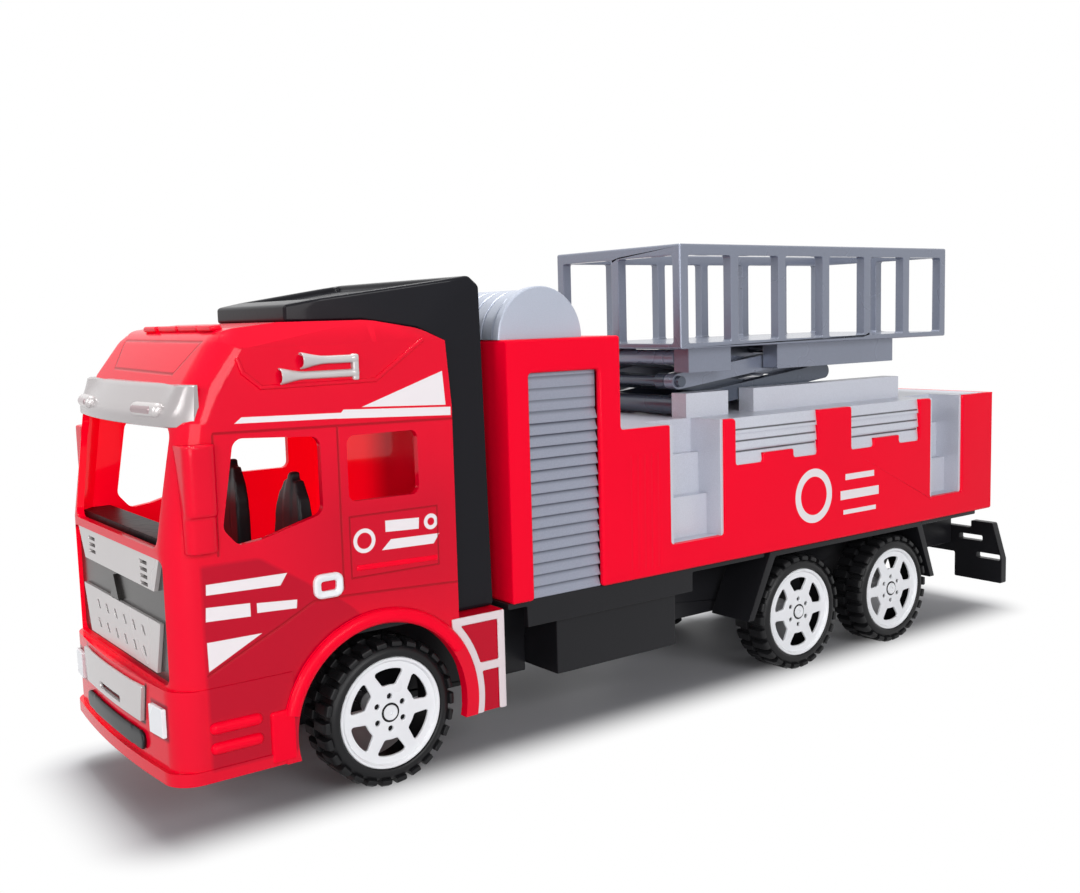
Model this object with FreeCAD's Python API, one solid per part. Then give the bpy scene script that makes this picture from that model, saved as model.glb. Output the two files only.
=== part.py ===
import FreeCAD, Part
import math
import os
from FreeCAD import Vector

# Toy fire engine with a scissor lift and a work basket, moulded plastic on three axles.
# All lengths are millimetres. While it is drawn, x runs forward from the front axle,
# y to the vehicle's left and z up from the floor. The finished pieces are moved along x
# so that the middle of the vehicle's length lies over the origin.

# Stance
FRONT_AXLE_X = 0.0
MIDDLE_AXLE_X = -151.7
REAR_AXLE_X = -200.0
BODY_HALF_WIDTH = 39.15
FIT_GAP = 0.08
SLIDE_GAP = 0.3
CUT_OVERRUN = 4.0
SAME_POINT = 0.001

# Wheels
TYRE_RADIUS = 19.0
TYRE_WIDTH = 12.5
LUG_HEIGHT = 1.6
LUG_COUNT = 16
LUG_BRIDGE = 0.4
RIM_RADIUS = 14.5
RIM_FACE_THICKNESS = 1.6
RIM_LIP_WIDTH = 3.3
RIM_SPOKES = 6
RIM_SPOKE_WIDTH = 3.0
RIM_HUB_RADIUS = 6.0
RIM_BOSS_RADIUS = 2.6
AXLE_RADIUS = 1.5
AXLE_IN_RIM = 9.5
FRONT_TRACK_INSET = 2.0
REAR_TRACK_INSET = 0.6

# Cab shell
CAB_WALL = 1.8
CAB_FRONT_X = 55.0
CAB_REAR_X = -19.4
CAB_CORNER_RADIUS = 7.0
CAB_INNER_CHAMFER = 4.0
CAB_SKIRT_Z = 14.4
CAB_REAR_WALL_Z = 42.0
SCREEN_TOP_X = 51.0
VISOR_TOP_X = 47.0
ROOF_FRONT_X = 39.0
ROOF_CREST_X = 24.0
ROOF_FALL_X = 0.0
ROOF_SHOULDER_X = -13.4
SCREEN_BASE_Z = 67.8
SCREEN_TOP_Z = 95.6
VISOR_TOP_Z = 105.0
ROOF_FRONT_Z = 116.2
ROOF_CREST_Z = 117.7
ROOF_SHOULDER_Z = 115.2
ROOF_REAR_Z = 112.0
VISOR_TOP_INSET = 1.2
ROOF_EAVE_INSET = 2.2
ROOF_CREST_INSET = 6.2
SCREEN_BASE_INSET = 7.6
SCREEN_TOP_INSET = 5.2
SIDE_FACING_SHARE = 0.5
FRONT_FACING_SHARE = 0.3
SCREEN_CORNER = 3.0

# Cab door windows
DOOR_WINDOW_FRONT_X = 42.2
DOOR_WINDOW_REAR_X = 17.4
DOOR_WINDOW_TOP_Z = 92.0
DOOR_WINDOW_BASE_Z = 67.6
DOOR_WINDOW_CORNER = 2.6
DOOR_WINDOW_SHARES = (
    (0.00, 0.20), (0.00, 0.95), (0.86, 1.00), (1.00, 0.17), (0.86, 0.00), (0.62, 0.03),
)
REAR_WINDOW_FRONT_X = 10.5
REAR_WINDOW_REAR_X = -9.0
REAR_WINDOW_TOP_Z = 90.3
REAR_WINDOW_BASE_Z = 74.3
REAR_WINDOW_CORNER = 2.0

# Front wheel arch and the step behind it
ARCH_X = 3.2
ARCH_Z = 19.5
ARCH_RADIUS = 23.8
FLARE_WIDTH = 3.6
FLARE_PROUD = 0.9
STEP_REAR_X = -33.2
STEP_TOP_Z = 40.6
STEP_BASE_Z = 14.2
STEP_WALL = 2.0
STEP_RETURN = 8.0
STEP_TRIM_PROUD = 0.6
STEP_TRIM_WIDTH = 2.2
STEP_RAIL_Z = 26.5

# Front of the cab
GRILLE_INSET = 5.0
GRILLE_BASE_Z = 36.8
GRILLE_TOP_Z = 65.6
GRILLE_CORNER = 2.0
GRILLE_SEAT = 0.4
GRILLE_PLATE = 1.0
UPPER_GRILLE_HALF_WIDTH = 31.6
UPPER_GRILLE_FOOT_HALF_WIDTH = 27.0
UPPER_GRILLE_BASE_Z = 57.4
LOWER_GRILLE_HALF_WIDTH = 29.8
LOWER_GRILLE_FOOT_HALF_WIDTH = 25.6
LOWER_GRILLE_BASE_Z = 38.0
LOWER_GRILLE_TOP_Z = 50.4
VENT_LENGTH = 5.2
VENT_HEIGHT = 0.9
VENT_PITCH = 1.7
VENT_TOP_Z = 63.8
VENT_INNER_Y = 17.6
VENT_COUNTS = (3, 4)
SLOT_ROWS_Z = (46.6, 41.6)
SLOT_COUNT = 6
SLOT_PITCH = 7.0
SLOT_WIDTH = 3.0
SLOT_HEIGHT = 2.2
FIN_CENTRE_Y = -3.6
FIN_HALF_WIDTH = 3.2
FIN_BASE_Z = 50.6
FIN_TOP_Z = 56.6
BUMPER_TOP_Z = 36.0
BUMPER_PROUD = 0.9
BUMPER_BOW = 1.6
BUMPER_SIDE_PROUD = 0.35
BUMPER_LIP_TOP_Z = 17.4
BUMPER_LIP_PROUD = 1.0
BUMPER_REAR_X = 27.4
NUMBER_PANEL_HALF_WIDTH = 23.0
NUMBER_PANEL_FOOT_HALF_WIDTH = 21.2
NUMBER_SLOT_HALF_WIDTH = 8.0
NUMBER_SLOT_Z = 28.2
NUMBER_SLOT_HEIGHT = 1.4
NUMBER_PANEL_BASE_Z = 26.0
NUMBER_PANEL_TOP_Z = 34.8
HEADLAMP_INNER_Y = 26.5
HEADLAMP_OUTER_Y = 33.6
HEADLAMP_BASE_Z = 25.0
HEADLAMP_TOP_Z = 31.8
FOG_BAR_HALF_WIDTH = 22.0
FOG_BAR_BASE_Z = 19.0
FOG_BAR_TOP_Z = 23.6
FOG_BAR_PROUD = 1.0
FOG_BAR_CORNER = 1.8
VISOR_THICKNESS = 1.6
VISOR_LIP_X = 54.6
VISOR_LIP_SETBACK = 0.8
VISOR_LIP_HEIGHT = 3.4
VISOR_REAR_X = 47.0
VISOR_FRONT_X = 52.2
VISOR_BOW = 2.4
VISOR_HALF_WIDTH = 39.0
VISOR_FOOT_DROP = 0.8
VISOR_HEAD_DROP = 0.6
VISOR_CORNER = 9.0
VISOR_LAMP_Y = (17.0, 30.0)
VISOR_LAMP_Z = (97.2, 100.2)
VISOR_LAMP_PROUD = 0.9

# Mirrors moulded on the front corner posts
MIRROR_FRONT_X = 51.2
MIRROR_REAR_X = 43.6
MIRROR_REACH = 3.5
MIRROR_BASE_Z = 67.0
MIRROR_WAIST_Z = 75.5
MIRROR_TOP_Z = 91.4
MIRROR_LOWER_REACH_SHARE = 0.7
MIRROR_CORNER = 2.4

# Air horns on the cab sides
HORN_BELL_X = 26.6
HORN_REAR_X = 6.0
HORN_UPPER_Z = 108.6
HORN_LOWER_Z = 105.2
HORN_SETBACK = 5.5
HORN_TUBE_RADIUS = 1.0
HORN_BELL_RADIUS = 2.0
HORN_BELL_LENGTH = 3.0
HORN_INSET = 1.2
HORN_BRACKET = 2.0

# Cab interior
FLOOR_THICKNESS = 2.6
SEAT_Y = 9.5
SEAT_WIDTH = 8.4
SEAT_BACK_THICKNESS = 3.2
FRONT_SEAT_X = 26.0
REAR_SEAT_X = 11.0
FRONT_SEAT_TOP_Z = 83.0
REAR_SEAT_TOP_Z = 78.2
SEAT_CUSHION_TOP_Z = 56.0
SEAT_CUSHION_LENGTH = 10.0
SEAT_TOP_TAPER_SHARE = 0.28
DASH_TOP_Z = 69.0
DASH_DEPTH = 8.0
DASH_HEIGHT = 5.0

# Wind deflector and the panel behind the cab
DEFLECTOR_INSET = 4.2
DEFLECTOR_FRONT_X = 17.0
DEFLECTOR_NOSE_HALF_WIDTH = 21.8
DEFLECTOR_REAR_X = -32.9
DEFLECTOR_LIP_Z = 121.9
DEFLECTOR_KNEE_X = 9.0
DEFLECTOR_KNEE_Z = 123.3
DEFLECTOR_CREST_X = -28.6
DEFLECTOR_CREST_Z = 128.4
DEFLECTOR_REAR_Z = 126.0
DEFLECTOR_SEAT = 3.0
DEFLECTOR_REAR_EDGE = 1.4
DEFLECTOR_RECESS = 1.6
DEFLECTOR_RIM = 3.2
DEFLECTOR_WALL = 1.8

# Red body: tall cabinet and low bed
BODY_WALL = 2.2
CABINET_FRONT_X = -36.6
CABINET_REAR_X = -75.8
CABINET_TOP_Z = 111.5
BED_REAR_X = -257.8
BED_TOP_Z = 84.8
BODY_BASE_Z = 41.0
SHUTTER_FRONT_X = -44.0
SHUTTER_REAR_X = -68.0
SHUTTER_TOP_Z = 102.4
SHUTTER_DEPTH = 1.5
SHUTTER_THICKNESS = 1.6
SHUTTER_SLATS = 18
SHUTTER_SLAT_LIFT = 0.5

# Silver deck insert
DECK_THICKNESS = 2.0
STAIR_FRONT_X = -94.6
STAIR_REAR_X = -116.4
STAIR_BASE_Z = 49.3
STAIR_TREAD_Z = (61.8, 74.4)
STAIR_DEPTHS = (6.7, 10.2, 13.4)
REAR_STAIR_FRONT_X = -220.0
REAR_STAIR_REAR_X = -238.6
STAIR_WALL = 1.2
LOUVRE_FRONT_XS = (-121.4, -176.2)
LOUVRE_REAR_XS = (-159.4, -213.3)
LOUVRE_BASE_Z = 70.3
LOUVRE_NOTCH_Z = 73.2
LOUVRE_NOTCH_START_SHARE = 0.32
LOUVRE_NOTCH_END_SHARE = 0.70
LOUVRE_DEPTH = 0.7
LOUVRE_SLATS = 3
LOUVRE_SLAT_LIFT = 0.6
RAIL_INNER_Y = 19.5
RAIL_OUTER_Y = 26.0
RAIL_HEIGHT = 7.6
FRONT_RAIL_FRONT_X = -113.2
FRONT_RAIL_REAR_X = -131.6
REAR_RAIL_FRONT_X = -143.2
REAR_RAIL_REAR_X = -218.6

# Half-round drum on the cabinet roof
DRUM_X = -50.6
DRUM_RADIUS = 14.0
DRUM_INSET = 3.2
DRUM_FLANGE = 2.6
DRUM_BAND = 12.0
DRUM_GROOVE = 0.7
DRUM_WALL = 2.0

# Chassis
CHASSIS_INSET = 1.6
CHASSIS_PLATE_BASE_Z = 33.5
SPINE_CLEARANCE = 5.1
SPINE_BASE_Z = 15.2
SPINE_FRONT_X = 30.0
SIDE_BOX_FRONT_X = -54.0
SIDE_BOX_REAR_X = -99.3
SIDE_BOX_INSET = 4.2
SIDE_BOX_BASE_Z = 17.4
SIDE_BOX_WALL = 1.8
PLATE_FRONT_X = -36.0
PLATE_REAR_X = -250.0
PLATE_THICKNESS = 1.6
SIDE_RAIL_FRONT_X = -42.4
SIDE_RAIL_REAR_X = -104.0
SIDE_RAIL_WALL = 2.0
MUDGUARD_FRONT_X = -127.0
MUDGUARD_REAR_X = -223.6
MUDGUARD_FOOT_Z = 20.0
MUDGUARD_FRONT_SLANT = 10.2
MUDGUARD_REAR_SLANT = 8.0
MUDGUARD_LEG = 2.4
MUDGUARD_WIDTH = 16.6
MUDGUARD_INSET = 0.6
SPINE_SHOULDER_Z = 26.0
SPINE_BELLY_Z = 19.6
SPINE_NOSE_X = -105.0
SPINE_TAIL_X = -232.0
SPINE_SLOPE = 8.0
SPINE_WALL = 1.8
REAR_BUMPER_FACE_X = -264.6
REAR_BUMPER_THICKNESS = 3.2
REAR_BEAM_HALF_WIDTH = 35.6
REAR_BEAM_BASE_Z = 20.4
REAR_BEAM_TOP_Z = 31.0
REAR_BEAM_HORN_Y = 26.0
REAR_BEAM_HORN_Z = 33.8
REAR_FLAP_INNER_Y = 19.0
REAR_FLAP_OUTER_Y = 39.6
REAR_FLAP_BASE_Z = 10.8
REAR_SLOT_HEIGHT = 2.2
REAR_SLOT_LENGTH = 10.0
REAR_UPPER_SLOT = (21.0, 27.2)
REAR_LOWER_SLOT = (28.6, 20.6)
REAR_ARM_Y = (11.0, 17.5)
REAR_ARM_Z = (24.0, 33.5)

# Scissor lift
ARM_PITCH = 70.0
ARM_RADIUS = 2.5
ARM_WIDTH = 4.2
ARM_SIDE_GAP = 0.3
PIVOT_X = -116.5
LOWER_PIN_HEIGHT = 3.4
LEVEL_RISE = 7.6
PIN_RADIUS = 1.7
PIN_REACH = 4.4
LOWER_TUBE_RADIUS = 3.1
UPPER_TUBE_RADIUS = 2.4
PIN_HEAD = 1.6
TRACK_FRONT_X = -156.0

# Work basket
BASKET_FRONT_X = -107.3
BASKET_REAR_X = -240.5
BASKET_HALF_WIDTH = 30.3
BASKET_CLEARANCE = 2.9
BASKET_FLOOR = 1.7
BASKET_HEIGHT = 31.7
BASKET_RAIL_HEIGHT = 3.4
BASKET_RAIL_WIDTH = 3.4
BASKET_POST = 3.4
BASKET_SIDE_POSTS = 7
LUG_FRONT_X = -114.5
LUG_REAR_X = -133.0
LUG_DROP = 4.6
BRACKET_FRONT_X = -154.6
BRACKET_REAR_X = -215.4
BRACKET_DROP = 5.2

# Derived places
GRILLE_HALF_WIDTH = BODY_HALF_WIDTH - GRILLE_INSET
GRILLE_FACE_X = CAB_FRONT_X - CAB_WALL + GRILLE_SEAT
GRILLE_BACK_X = GRILLE_FACE_X - GRILLE_SEAT - GRILLE_PLATE
BUMPER_LIP_X = CAB_FRONT_X + BUMPER_PROUD + BUMPER_BOW + BUMPER_LIP_PROUD
HORN_CENTRE_Y = BODY_HALF_WIDTH - HORN_INSET
FLOOR_Z = BODY_BASE_Z + FLOOR_THICKNESS
DEFLECTOR_HALF_WIDTH = BODY_HALF_WIDTH - DEFLECTOR_INSET
DRUM_HALF_LENGTH = BODY_HALF_WIDTH - DRUM_INSET
CHASSIS_HALF_WIDTH = BODY_HALF_WIDTH - CHASSIS_INSET
SPINE_HALF_WIDTH = BODY_HALF_WIDTH - FRONT_TRACK_INSET - TYRE_WIDTH - SPINE_CLEARANCE
SIDE_BOX_HALF_WIDTH = BODY_HALF_WIDTH - SIDE_BOX_INSET
MUDGUARD_OUTER_Y = BODY_HALF_WIDTH - MUDGUARD_INSET
MUDGUARD_INNER_Y = MUDGUARD_OUTER_Y - MUDGUARD_WIDTH
RAIL_TOP_Z = BED_TOP_Z + RAIL_HEIGHT
LOWER_PIN_Z = BED_TOP_Z + LOWER_PIN_HEIGHT
LIFT_REST_ANGLE = math.asin(LEVEL_RISE / ARM_PITCH)
MIDDLE_PIN_Z = LOWER_PIN_Z + LEVEL_RISE
UPPER_PIN_Z = MIDDLE_PIN_Z + LEVEL_RISE
LUG_BASE_Z = UPPER_PIN_Z - LUG_DROP
BRACKET_BASE_Z = UPPER_PIN_Z - BRACKET_DROP
BASKET_BASE_Z = UPPER_PIN_Z + BASKET_CLEARANCE
BASKET_TOP_Z = BASKET_BASE_Z + BASKET_HEIGHT
PIN_RUN = ARM_PITCH * math.cos(LIFT_REST_ANGLE)
REAR_PIN_X = PIVOT_X - PIN_RUN
CENTRE_PIN_X = PIVOT_X - PIN_RUN / 2
OUTER_ARM_Y = RAIL_INNER_Y - ARM_SIDE_GAP - ARM_WIDTH
INNER_ARM_Y = OUTER_ARM_Y - ARM_SIDE_GAP - ARM_WIDTH
VEHICLE_FRONT_X = BUMPER_LIP_X
VEHICLE_REAR_X = REAR_BUMPER_FACE_X - REAR_BUMPER_THICKNESS
ORIGIN_X = (VEHICLE_FRONT_X + VEHICLE_REAR_X) / 2

ALONG_X = Vector(1, 0, 0)
ALONG_Y = Vector(0, 1, 0)
ALONG_Z = Vector(0, 0, 1)
KEEP_CORNERS = 2
PLANES = {
    "xz": (lambda u, v, w: Vector(u, w, v), ALONG_Y),
    "yz": (lambda u, v, w: Vector(w, u, v), ALONG_X),
    "xy": (lambda u, v, w: Vector(u, v, w), ALONG_Z),
}


def block(x_span, y_span, z_span):
    """Box between two values on each axis, given in either order."""
    low = Vector(min(x_span), min(y_span), min(z_span))
    high = Vector(max(x_span), max(y_span), max(z_span))
    size = high - low
    return Part.makeBox(size.x, size.y, size.z, low)


def corner_arc(before, corner, after, radius):
    """Start, middle and end of the arc that rounds one corner of an outline."""
    to_before = (before - corner).normalize()
    to_after = (after - corner).normalize()
    half_angle = to_before.getAngle(to_after) / 2
    reach = radius / math.tan(half_angle)
    bisector = (to_before + to_after).normalize()
    middle = corner + bisector * (radius / math.sin(half_angle) - radius)
    return corner + to_before * reach, middle, corner + to_after * reach


def outline_face(points, plane, level, radius=0.0):
    """Flat face from an outline, its corners rounded where a radius is given."""
    place = PLANES[plane][0]
    corners = [place(u, v, level) for u, v in points]
    count = len(corners)
    if radius == 0:
        return Part.Face(Part.makePolygon(corners + corners[:1]))
    arcs = [
        corner_arc(corners[i - 1], corners[i], corners[(i + 1) % count], radius)
        for i in range(count)
    ]
    edges = []
    for i, (start, middle, end) in enumerate(arcs):
        edges.append(Part.Arc(start, middle, end).toShape())
        following = arcs[(i + 1) % count][0]
        if (following - end).Length > SAME_POINT:
            edges.append(Part.makeLine(end, following))
    return Part.Face(Part.Wire(edges))


def plate(points, plane, span, radius=0.0):
    """Outline given thickness between two levels."""
    low, high = min(span), max(span)
    return outline_face(points, plane, low, radius).extrude(PLANES[plane][1] * (high - low))


def rectangle(u_span, v_span):
    """Corner points of a rectangle."""
    return [
        (u_span[0], v_span[0]), (u_span[1], v_span[0]),
        (u_span[1], v_span[1]), (u_span[0], v_span[1]),
    ]


def bar(x, z, y_span, radius):
    """Round bar lying across the vehicle."""
    low, high = min(y_span), max(y_span)
    return Part.makeCylinder(radius, high - low, Vector(x, low, z), ALONG_Y)


def mirrored(shape):
    """The same piece on the other side of the vehicle."""
    return shape.mirror(Vector(0, 0, 0), ALONG_Y)


def pair(shape):
    """A form and its mirror image, for fusing or cutting."""
    return [shape, mirrored(shape)]


def joined(shapes):
    """One clean solid from overlapping or touching ones."""
    shapes = list(shapes)
    result = shapes[0].multiFuse(shapes[1:]) if len(shapes) > 1 else shapes[0]
    return result.removeSplitter()


def shares_outline(shares, u_span, v_span):
    """Outline from shares of a width and a height."""
    width = u_span[1] - u_span[0]
    height = v_span[1] - v_span[0]
    return [(u_span[0] + u * width, v_span[0] + v * height) for u, v in shares]


def tyre(x, outer_y):
    """Moulded tyre: two staggered rows of square lugs round an open bore."""
    inner_y = outer_y - TYRE_WIDTH
    middle_y = (outer_y + inner_y) / 2
    rows = [
        tread_row(x, (inner_y, middle_y + LUG_BRIDGE), 0.0),
        tread_row(x, (middle_y - LUG_BRIDGE, outer_y), math.pi / LUG_COUNT),
    ]
    bore = bar(x, TYRE_RADIUS, (inner_y - CUT_OVERRUN, outer_y + CUT_OVERRUN), RIM_RADIUS)
    return joined(rows).cut(bore)


def tread_row(x, y_span, start_angle):
    """One row of lugs as a toothed ring, each lug as long as the gap after it."""
    half_pitch = math.pi / LUG_COUNT
    base_radius = TYRE_RADIUS - LUG_HEIGHT
    points = []
    for i in range(LUG_COUNT):
        angle = start_angle + 2 * i * half_pitch
        for radius, turn in (
            (base_radius, angle), (TYRE_RADIUS, angle),
            (TYRE_RADIUS, angle + half_pitch), (base_radius, angle + half_pitch),
        ):
            points.append((x + radius * math.cos(turn), TYRE_RADIUS + radius * math.sin(turn)))
    return plate(points, "xz", y_span)


def rim(x, outer_y):
    """Six-spoke rim: a pierced disc in the tyre's outer edge, with a hub tube for the axle."""
    inner_y = outer_y - TYRE_WIDTH
    face_inner_y = outer_y - RIM_FACE_THICKNESS
    disc = bar(x, TYRE_RADIUS, (face_inner_y, outer_y), RIM_RADIUS)
    hub = bar(x, TYRE_RADIUS, (inner_y, outer_y), RIM_BOSS_RADIUS)
    openings = [spoke_window(x, outer_y, i) for i in range(RIM_SPOKES)]
    bore = bar(x, TYRE_RADIUS, (inner_y - CUT_OVERRUN, inner_y + AXLE_IN_RIM), AXLE_RADIUS)
    return joined([disc, hub]).cut(openings + [bore])


def spoke_window(x, outer_y, index):
    """Opening between two spokes, wider towards the lip."""
    middle = math.pi / 2 + index * 2 * math.pi / RIM_SPOKES
    inner_radius = RIM_HUB_RADIUS
    outer_radius = RIM_RADIUS - RIM_LIP_WIDTH
    corners = []
    for radius, side in ((inner_radius, -1), (outer_radius, -1), (outer_radius, 1), (inner_radius, 1)):
        turn = math.pi / RIM_SPOKES - math.asin(RIM_SPOKE_WIDTH / 2 / radius)
        angle = middle + side * turn
        corners.append((x + radius * math.cos(angle), TYRE_RADIUS + radius * math.sin(angle)))
    crown = (x + outer_radius * math.cos(middle), TYRE_RADIUS + outer_radius * math.sin(middle))
    corners.insert(2, crown)
    return plate(corners, "xz", (outer_y - RIM_FACE_THICKNESS - CUT_OVERRUN, outer_y + CUT_OVERRUN))


def axle_shaft(x, outer_y):
    """Steel axle pressed into both rims."""
    end_y = outer_y - TYRE_WIDTH + AXLE_IN_RIM
    return bar(x, TYRE_RADIUS, (-end_y, end_y), AXLE_RADIUS)


def inset_plate(points, plane, span, inset):
    """Outline given thickness after it is moved inwards all round."""
    low, high = min(span), max(span)
    face = outline_face(points, plane, low)
    if inset:
        face = face.makeOffset2D(-inset, join=KEEP_CORNERS)
    return face.extrude(PLANES[plane][1] * (high - low))


def cab_envelope(inset, skirt_z):
    """A side profile crossed with a front one: rounded for the cab's outside, chamfered inside its walls."""
    side = [
        (CAB_REAR_X, skirt_z), (CAB_FRONT_X, skirt_z), (CAB_FRONT_X, SCREEN_BASE_Z), (SCREEN_TOP_X, SCREEN_TOP_Z),
        (VISOR_TOP_X, VISOR_TOP_Z), (ROOF_FRONT_X, ROOF_FRONT_Z), (ROOF_CREST_X, ROOF_CREST_Z),
        (ROOF_FALL_X, ROOF_CREST_Z), (ROOF_SHOULDER_X, ROOF_SHOULDER_Z), (CAB_REAR_X, ROOF_REAR_Z),
    ]
    flank = [
        (BODY_HALF_WIDTH, skirt_z), (BODY_HALF_WIDTH, SCREEN_TOP_Z), (BODY_HALF_WIDTH - VISOR_TOP_INSET, VISOR_TOP_Z),
        (BODY_HALF_WIDTH - ROOF_EAVE_INSET, ROOF_REAR_Z), (BODY_HALF_WIDTH - ROOF_CREST_INSET, ROOF_CREST_Z),
    ]
    front = flank + [(-y, z) for y, z in reversed(flank)]
    solid = inset_plate(side, "xz", (-BODY_HALF_WIDTH, BODY_HALF_WIDTH), inset)
    solid = solid.common(inset_plate(front, "yz", (CAB_REAR_X, CAB_FRONT_X), inset)).removeSplitter()
    if inset:
        return solid.makeChamfer(CAB_INNER_CHAMFER, cab_corner_edges(solid))
    return solid.makeFillet(CAB_CORNER_RADIUS, cab_corner_edges(solid))


def cab_corner_edges(solid):
    """Edges where a side of the cab meets its front, up to the roof."""
    edges = []
    for edge in solid.Edges:
        normals = [face.normalAt(0, 0) for face in solid.ancestorsOfType(edge, Part.Face)]
        at_side = any(abs(normal.y) > SIDE_FACING_SHARE for normal in normals)
        at_front = any(normal.x > FRONT_FACING_SHARE for normal in normals)
        if at_side and at_front:
            edges.append(edge)
    return edges


def bowed_form(front_x, half_width, z_span, radius=CAB_CORNER_RADIUS, bow_depth=BUMPER_BOW, rear_x=BUMPER_REAR_X):
    """Upright form with a front that bows forward, and rounded front corners."""
    low = min(z_span)
    shoulder_y = half_width - radius
    diagonal = radius * math.sqrt(1 / 2)
    corner_x = front_x - radius + diagonal
    corner_y = shoulder_y + diagonal
    left = Part.Arc(Vector(front_x - radius, half_width, low), Vector(corner_x, corner_y, low),
                    Vector(front_x, shoulder_y, low))
    bow = Part.Arc(Vector(front_x, shoulder_y, low), Vector(front_x + bow_depth, 0, low),
                   Vector(front_x, -shoulder_y, low))
    right = Part.Arc(Vector(front_x, -shoulder_y, low), Vector(corner_x, -corner_y, low),
                     Vector(front_x - radius, -half_width, low))
    back = Part.makePolygon([
        Vector(front_x - radius, -half_width, low), Vector(rear_x, -half_width, low),
        Vector(rear_x, half_width, low), Vector(front_x - radius, half_width, low),
    ])
    outline = Part.Wire([left.toShape(), bow.toShape(), right.toShape()] + back.Edges)
    return Part.Face(outline).extrude(ALONG_Z * (max(z_span) - low))


def wheel_arch_cut():
    """The round cut that clears the front wheels."""
    return bar(ARCH_X, ARCH_Z, (-BODY_HALF_WIDTH - CUT_OVERRUN, BODY_HALF_WIDTH + CUT_OVERRUN), ARCH_RADIUS)


def wheel_flare():
    """Raised lip round the left front wheel arch."""
    y_span = (BODY_HALF_WIDTH - CAB_WALL, BODY_HALF_WIDTH + FLARE_PROUD)
    ring = bar(ARCH_X, ARCH_Z, y_span, ARCH_RADIUS + FLARE_WIDTH)
    keep = block((CAB_REAR_X - CUT_OVERRUN * 2, ARCH_X + ARCH_RADIUS + FLARE_WIDTH),
                 y_span, (STEP_BASE_Z, ARCH_Z + ARCH_RADIUS + FLARE_WIDTH))
    return ring.common(keep)


def side_step():
    """Step panel behind the left front wheel, with its return to the chassis."""
    outer = block((STEP_REAR_X, ARCH_X - ARCH_RADIUS), (BODY_HALF_WIDTH - STEP_RETURN, BODY_HALF_WIDTH),
                  (STEP_BASE_Z, STEP_TOP_Z))
    head = block((STEP_REAR_X, ARCH_X), (BODY_HALF_WIDTH - STEP_WALL, BODY_HALF_WIDTH),
                 (ARCH_Z, STEP_TOP_Z))
    hollow = block((STEP_REAR_X + STEP_WALL, ARCH_X), (BODY_HALF_WIDTH - STEP_RETURN, BODY_HALF_WIDTH - STEP_WALL),
                   (STEP_BASE_Z, STEP_TOP_Z - STEP_WALL))
    return joined([outer.cut(hollow), head])


def step_trim():
    """Raised ladder-shaped frame on the left step panel."""
    y_span = (BODY_HALF_WIDTH, BODY_HALF_WIDTH + STEP_TRIM_PROUD)
    rear = (STEP_REAR_X, STEP_REAR_X + STEP_TRIM_WIDTH)
    outer_radius = ARCH_RADIUS + FLARE_WIDTH
    post = block(rear, y_span, (STEP_BASE_Z, STEP_TOP_Z))
    head = block((STEP_REAR_X, ARCH_X - ARCH_RADIUS + FLARE_WIDTH), y_span, (STEP_TOP_Z - STEP_TRIM_WIDTH, STEP_TOP_Z))
    rail = block((STEP_REAR_X, ARCH_X - ARCH_RADIUS), y_span,
                 (STEP_RAIL_Z - STEP_TRIM_WIDTH / 2, STEP_RAIL_Z + STEP_TRIM_WIDTH / 2))
    curve = bar(ARCH_X, ARCH_Z, y_span, outer_radius + STEP_TRIM_WIDTH)
    curve = curve.common(block((STEP_REAR_X, ARCH_X - ARCH_RADIUS + FLARE_WIDTH), y_span, (STEP_BASE_Z, STEP_TOP_Z)))
    return joined([post, head, rail, curve]).cut(bar(ARCH_X, ARCH_Z, y_span, outer_radius))


def bumper():
    """Bumper band round the front of the cab, with a lip along its foot."""
    front_x = CAB_FRONT_X + BUMPER_PROUD
    half = BODY_HALF_WIDTH + BUMPER_SIDE_PROUD
    upper = bowed_form(front_x, half, (CAB_SKIRT_Z, BUMPER_TOP_Z))
    lip = bowed_form(front_x + BUMPER_LIP_PROUD, half + BUMPER_SIDE_PROUD, (CAB_SKIRT_Z, BUMPER_LIP_TOP_Z))
    inside = cab_envelope(CAB_WALL, CAB_SKIRT_Z - 2 * CAB_WALL - CUT_OVERRUN)
    return joined([upper, lip]).cut(inside)


def on_bumper(proud, outline, radius=0.0):
    """Piece that follows the bowed face of the bumper, standing proud of it."""
    front_x = CAB_FRONT_X + BUMPER_PROUD
    half = BODY_HALF_WIDTH + BUMPER_SIDE_PROUD
    levels = [z for y, z in outline]
    z_span = (min(levels), max(levels))
    skin = bowed_form(front_x + proud, half, z_span).cut(bowed_form(front_x, half, z_span))
    return skin.common(plate(outline, "yz", (CAB_FRONT_X, BUMPER_LIP_X), radius))


def windscreen_cut():
    """Opening of the windscreen."""
    base_y = BODY_HALF_WIDTH - SCREEN_BASE_INSET
    top_y = BODY_HALF_WIDTH - SCREEN_TOP_INSET
    outline = [(-base_y, SCREEN_BASE_Z), (base_y, SCREEN_BASE_Z), (top_y, SCREEN_TOP_Z), (-top_y, SCREEN_TOP_Z)]
    return plate(outline, "yz", (SCREEN_TOP_X - CAB_CORNER_RADIUS, CAB_FRONT_X + CUT_OVERRUN), SCREEN_CORNER)


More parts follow.
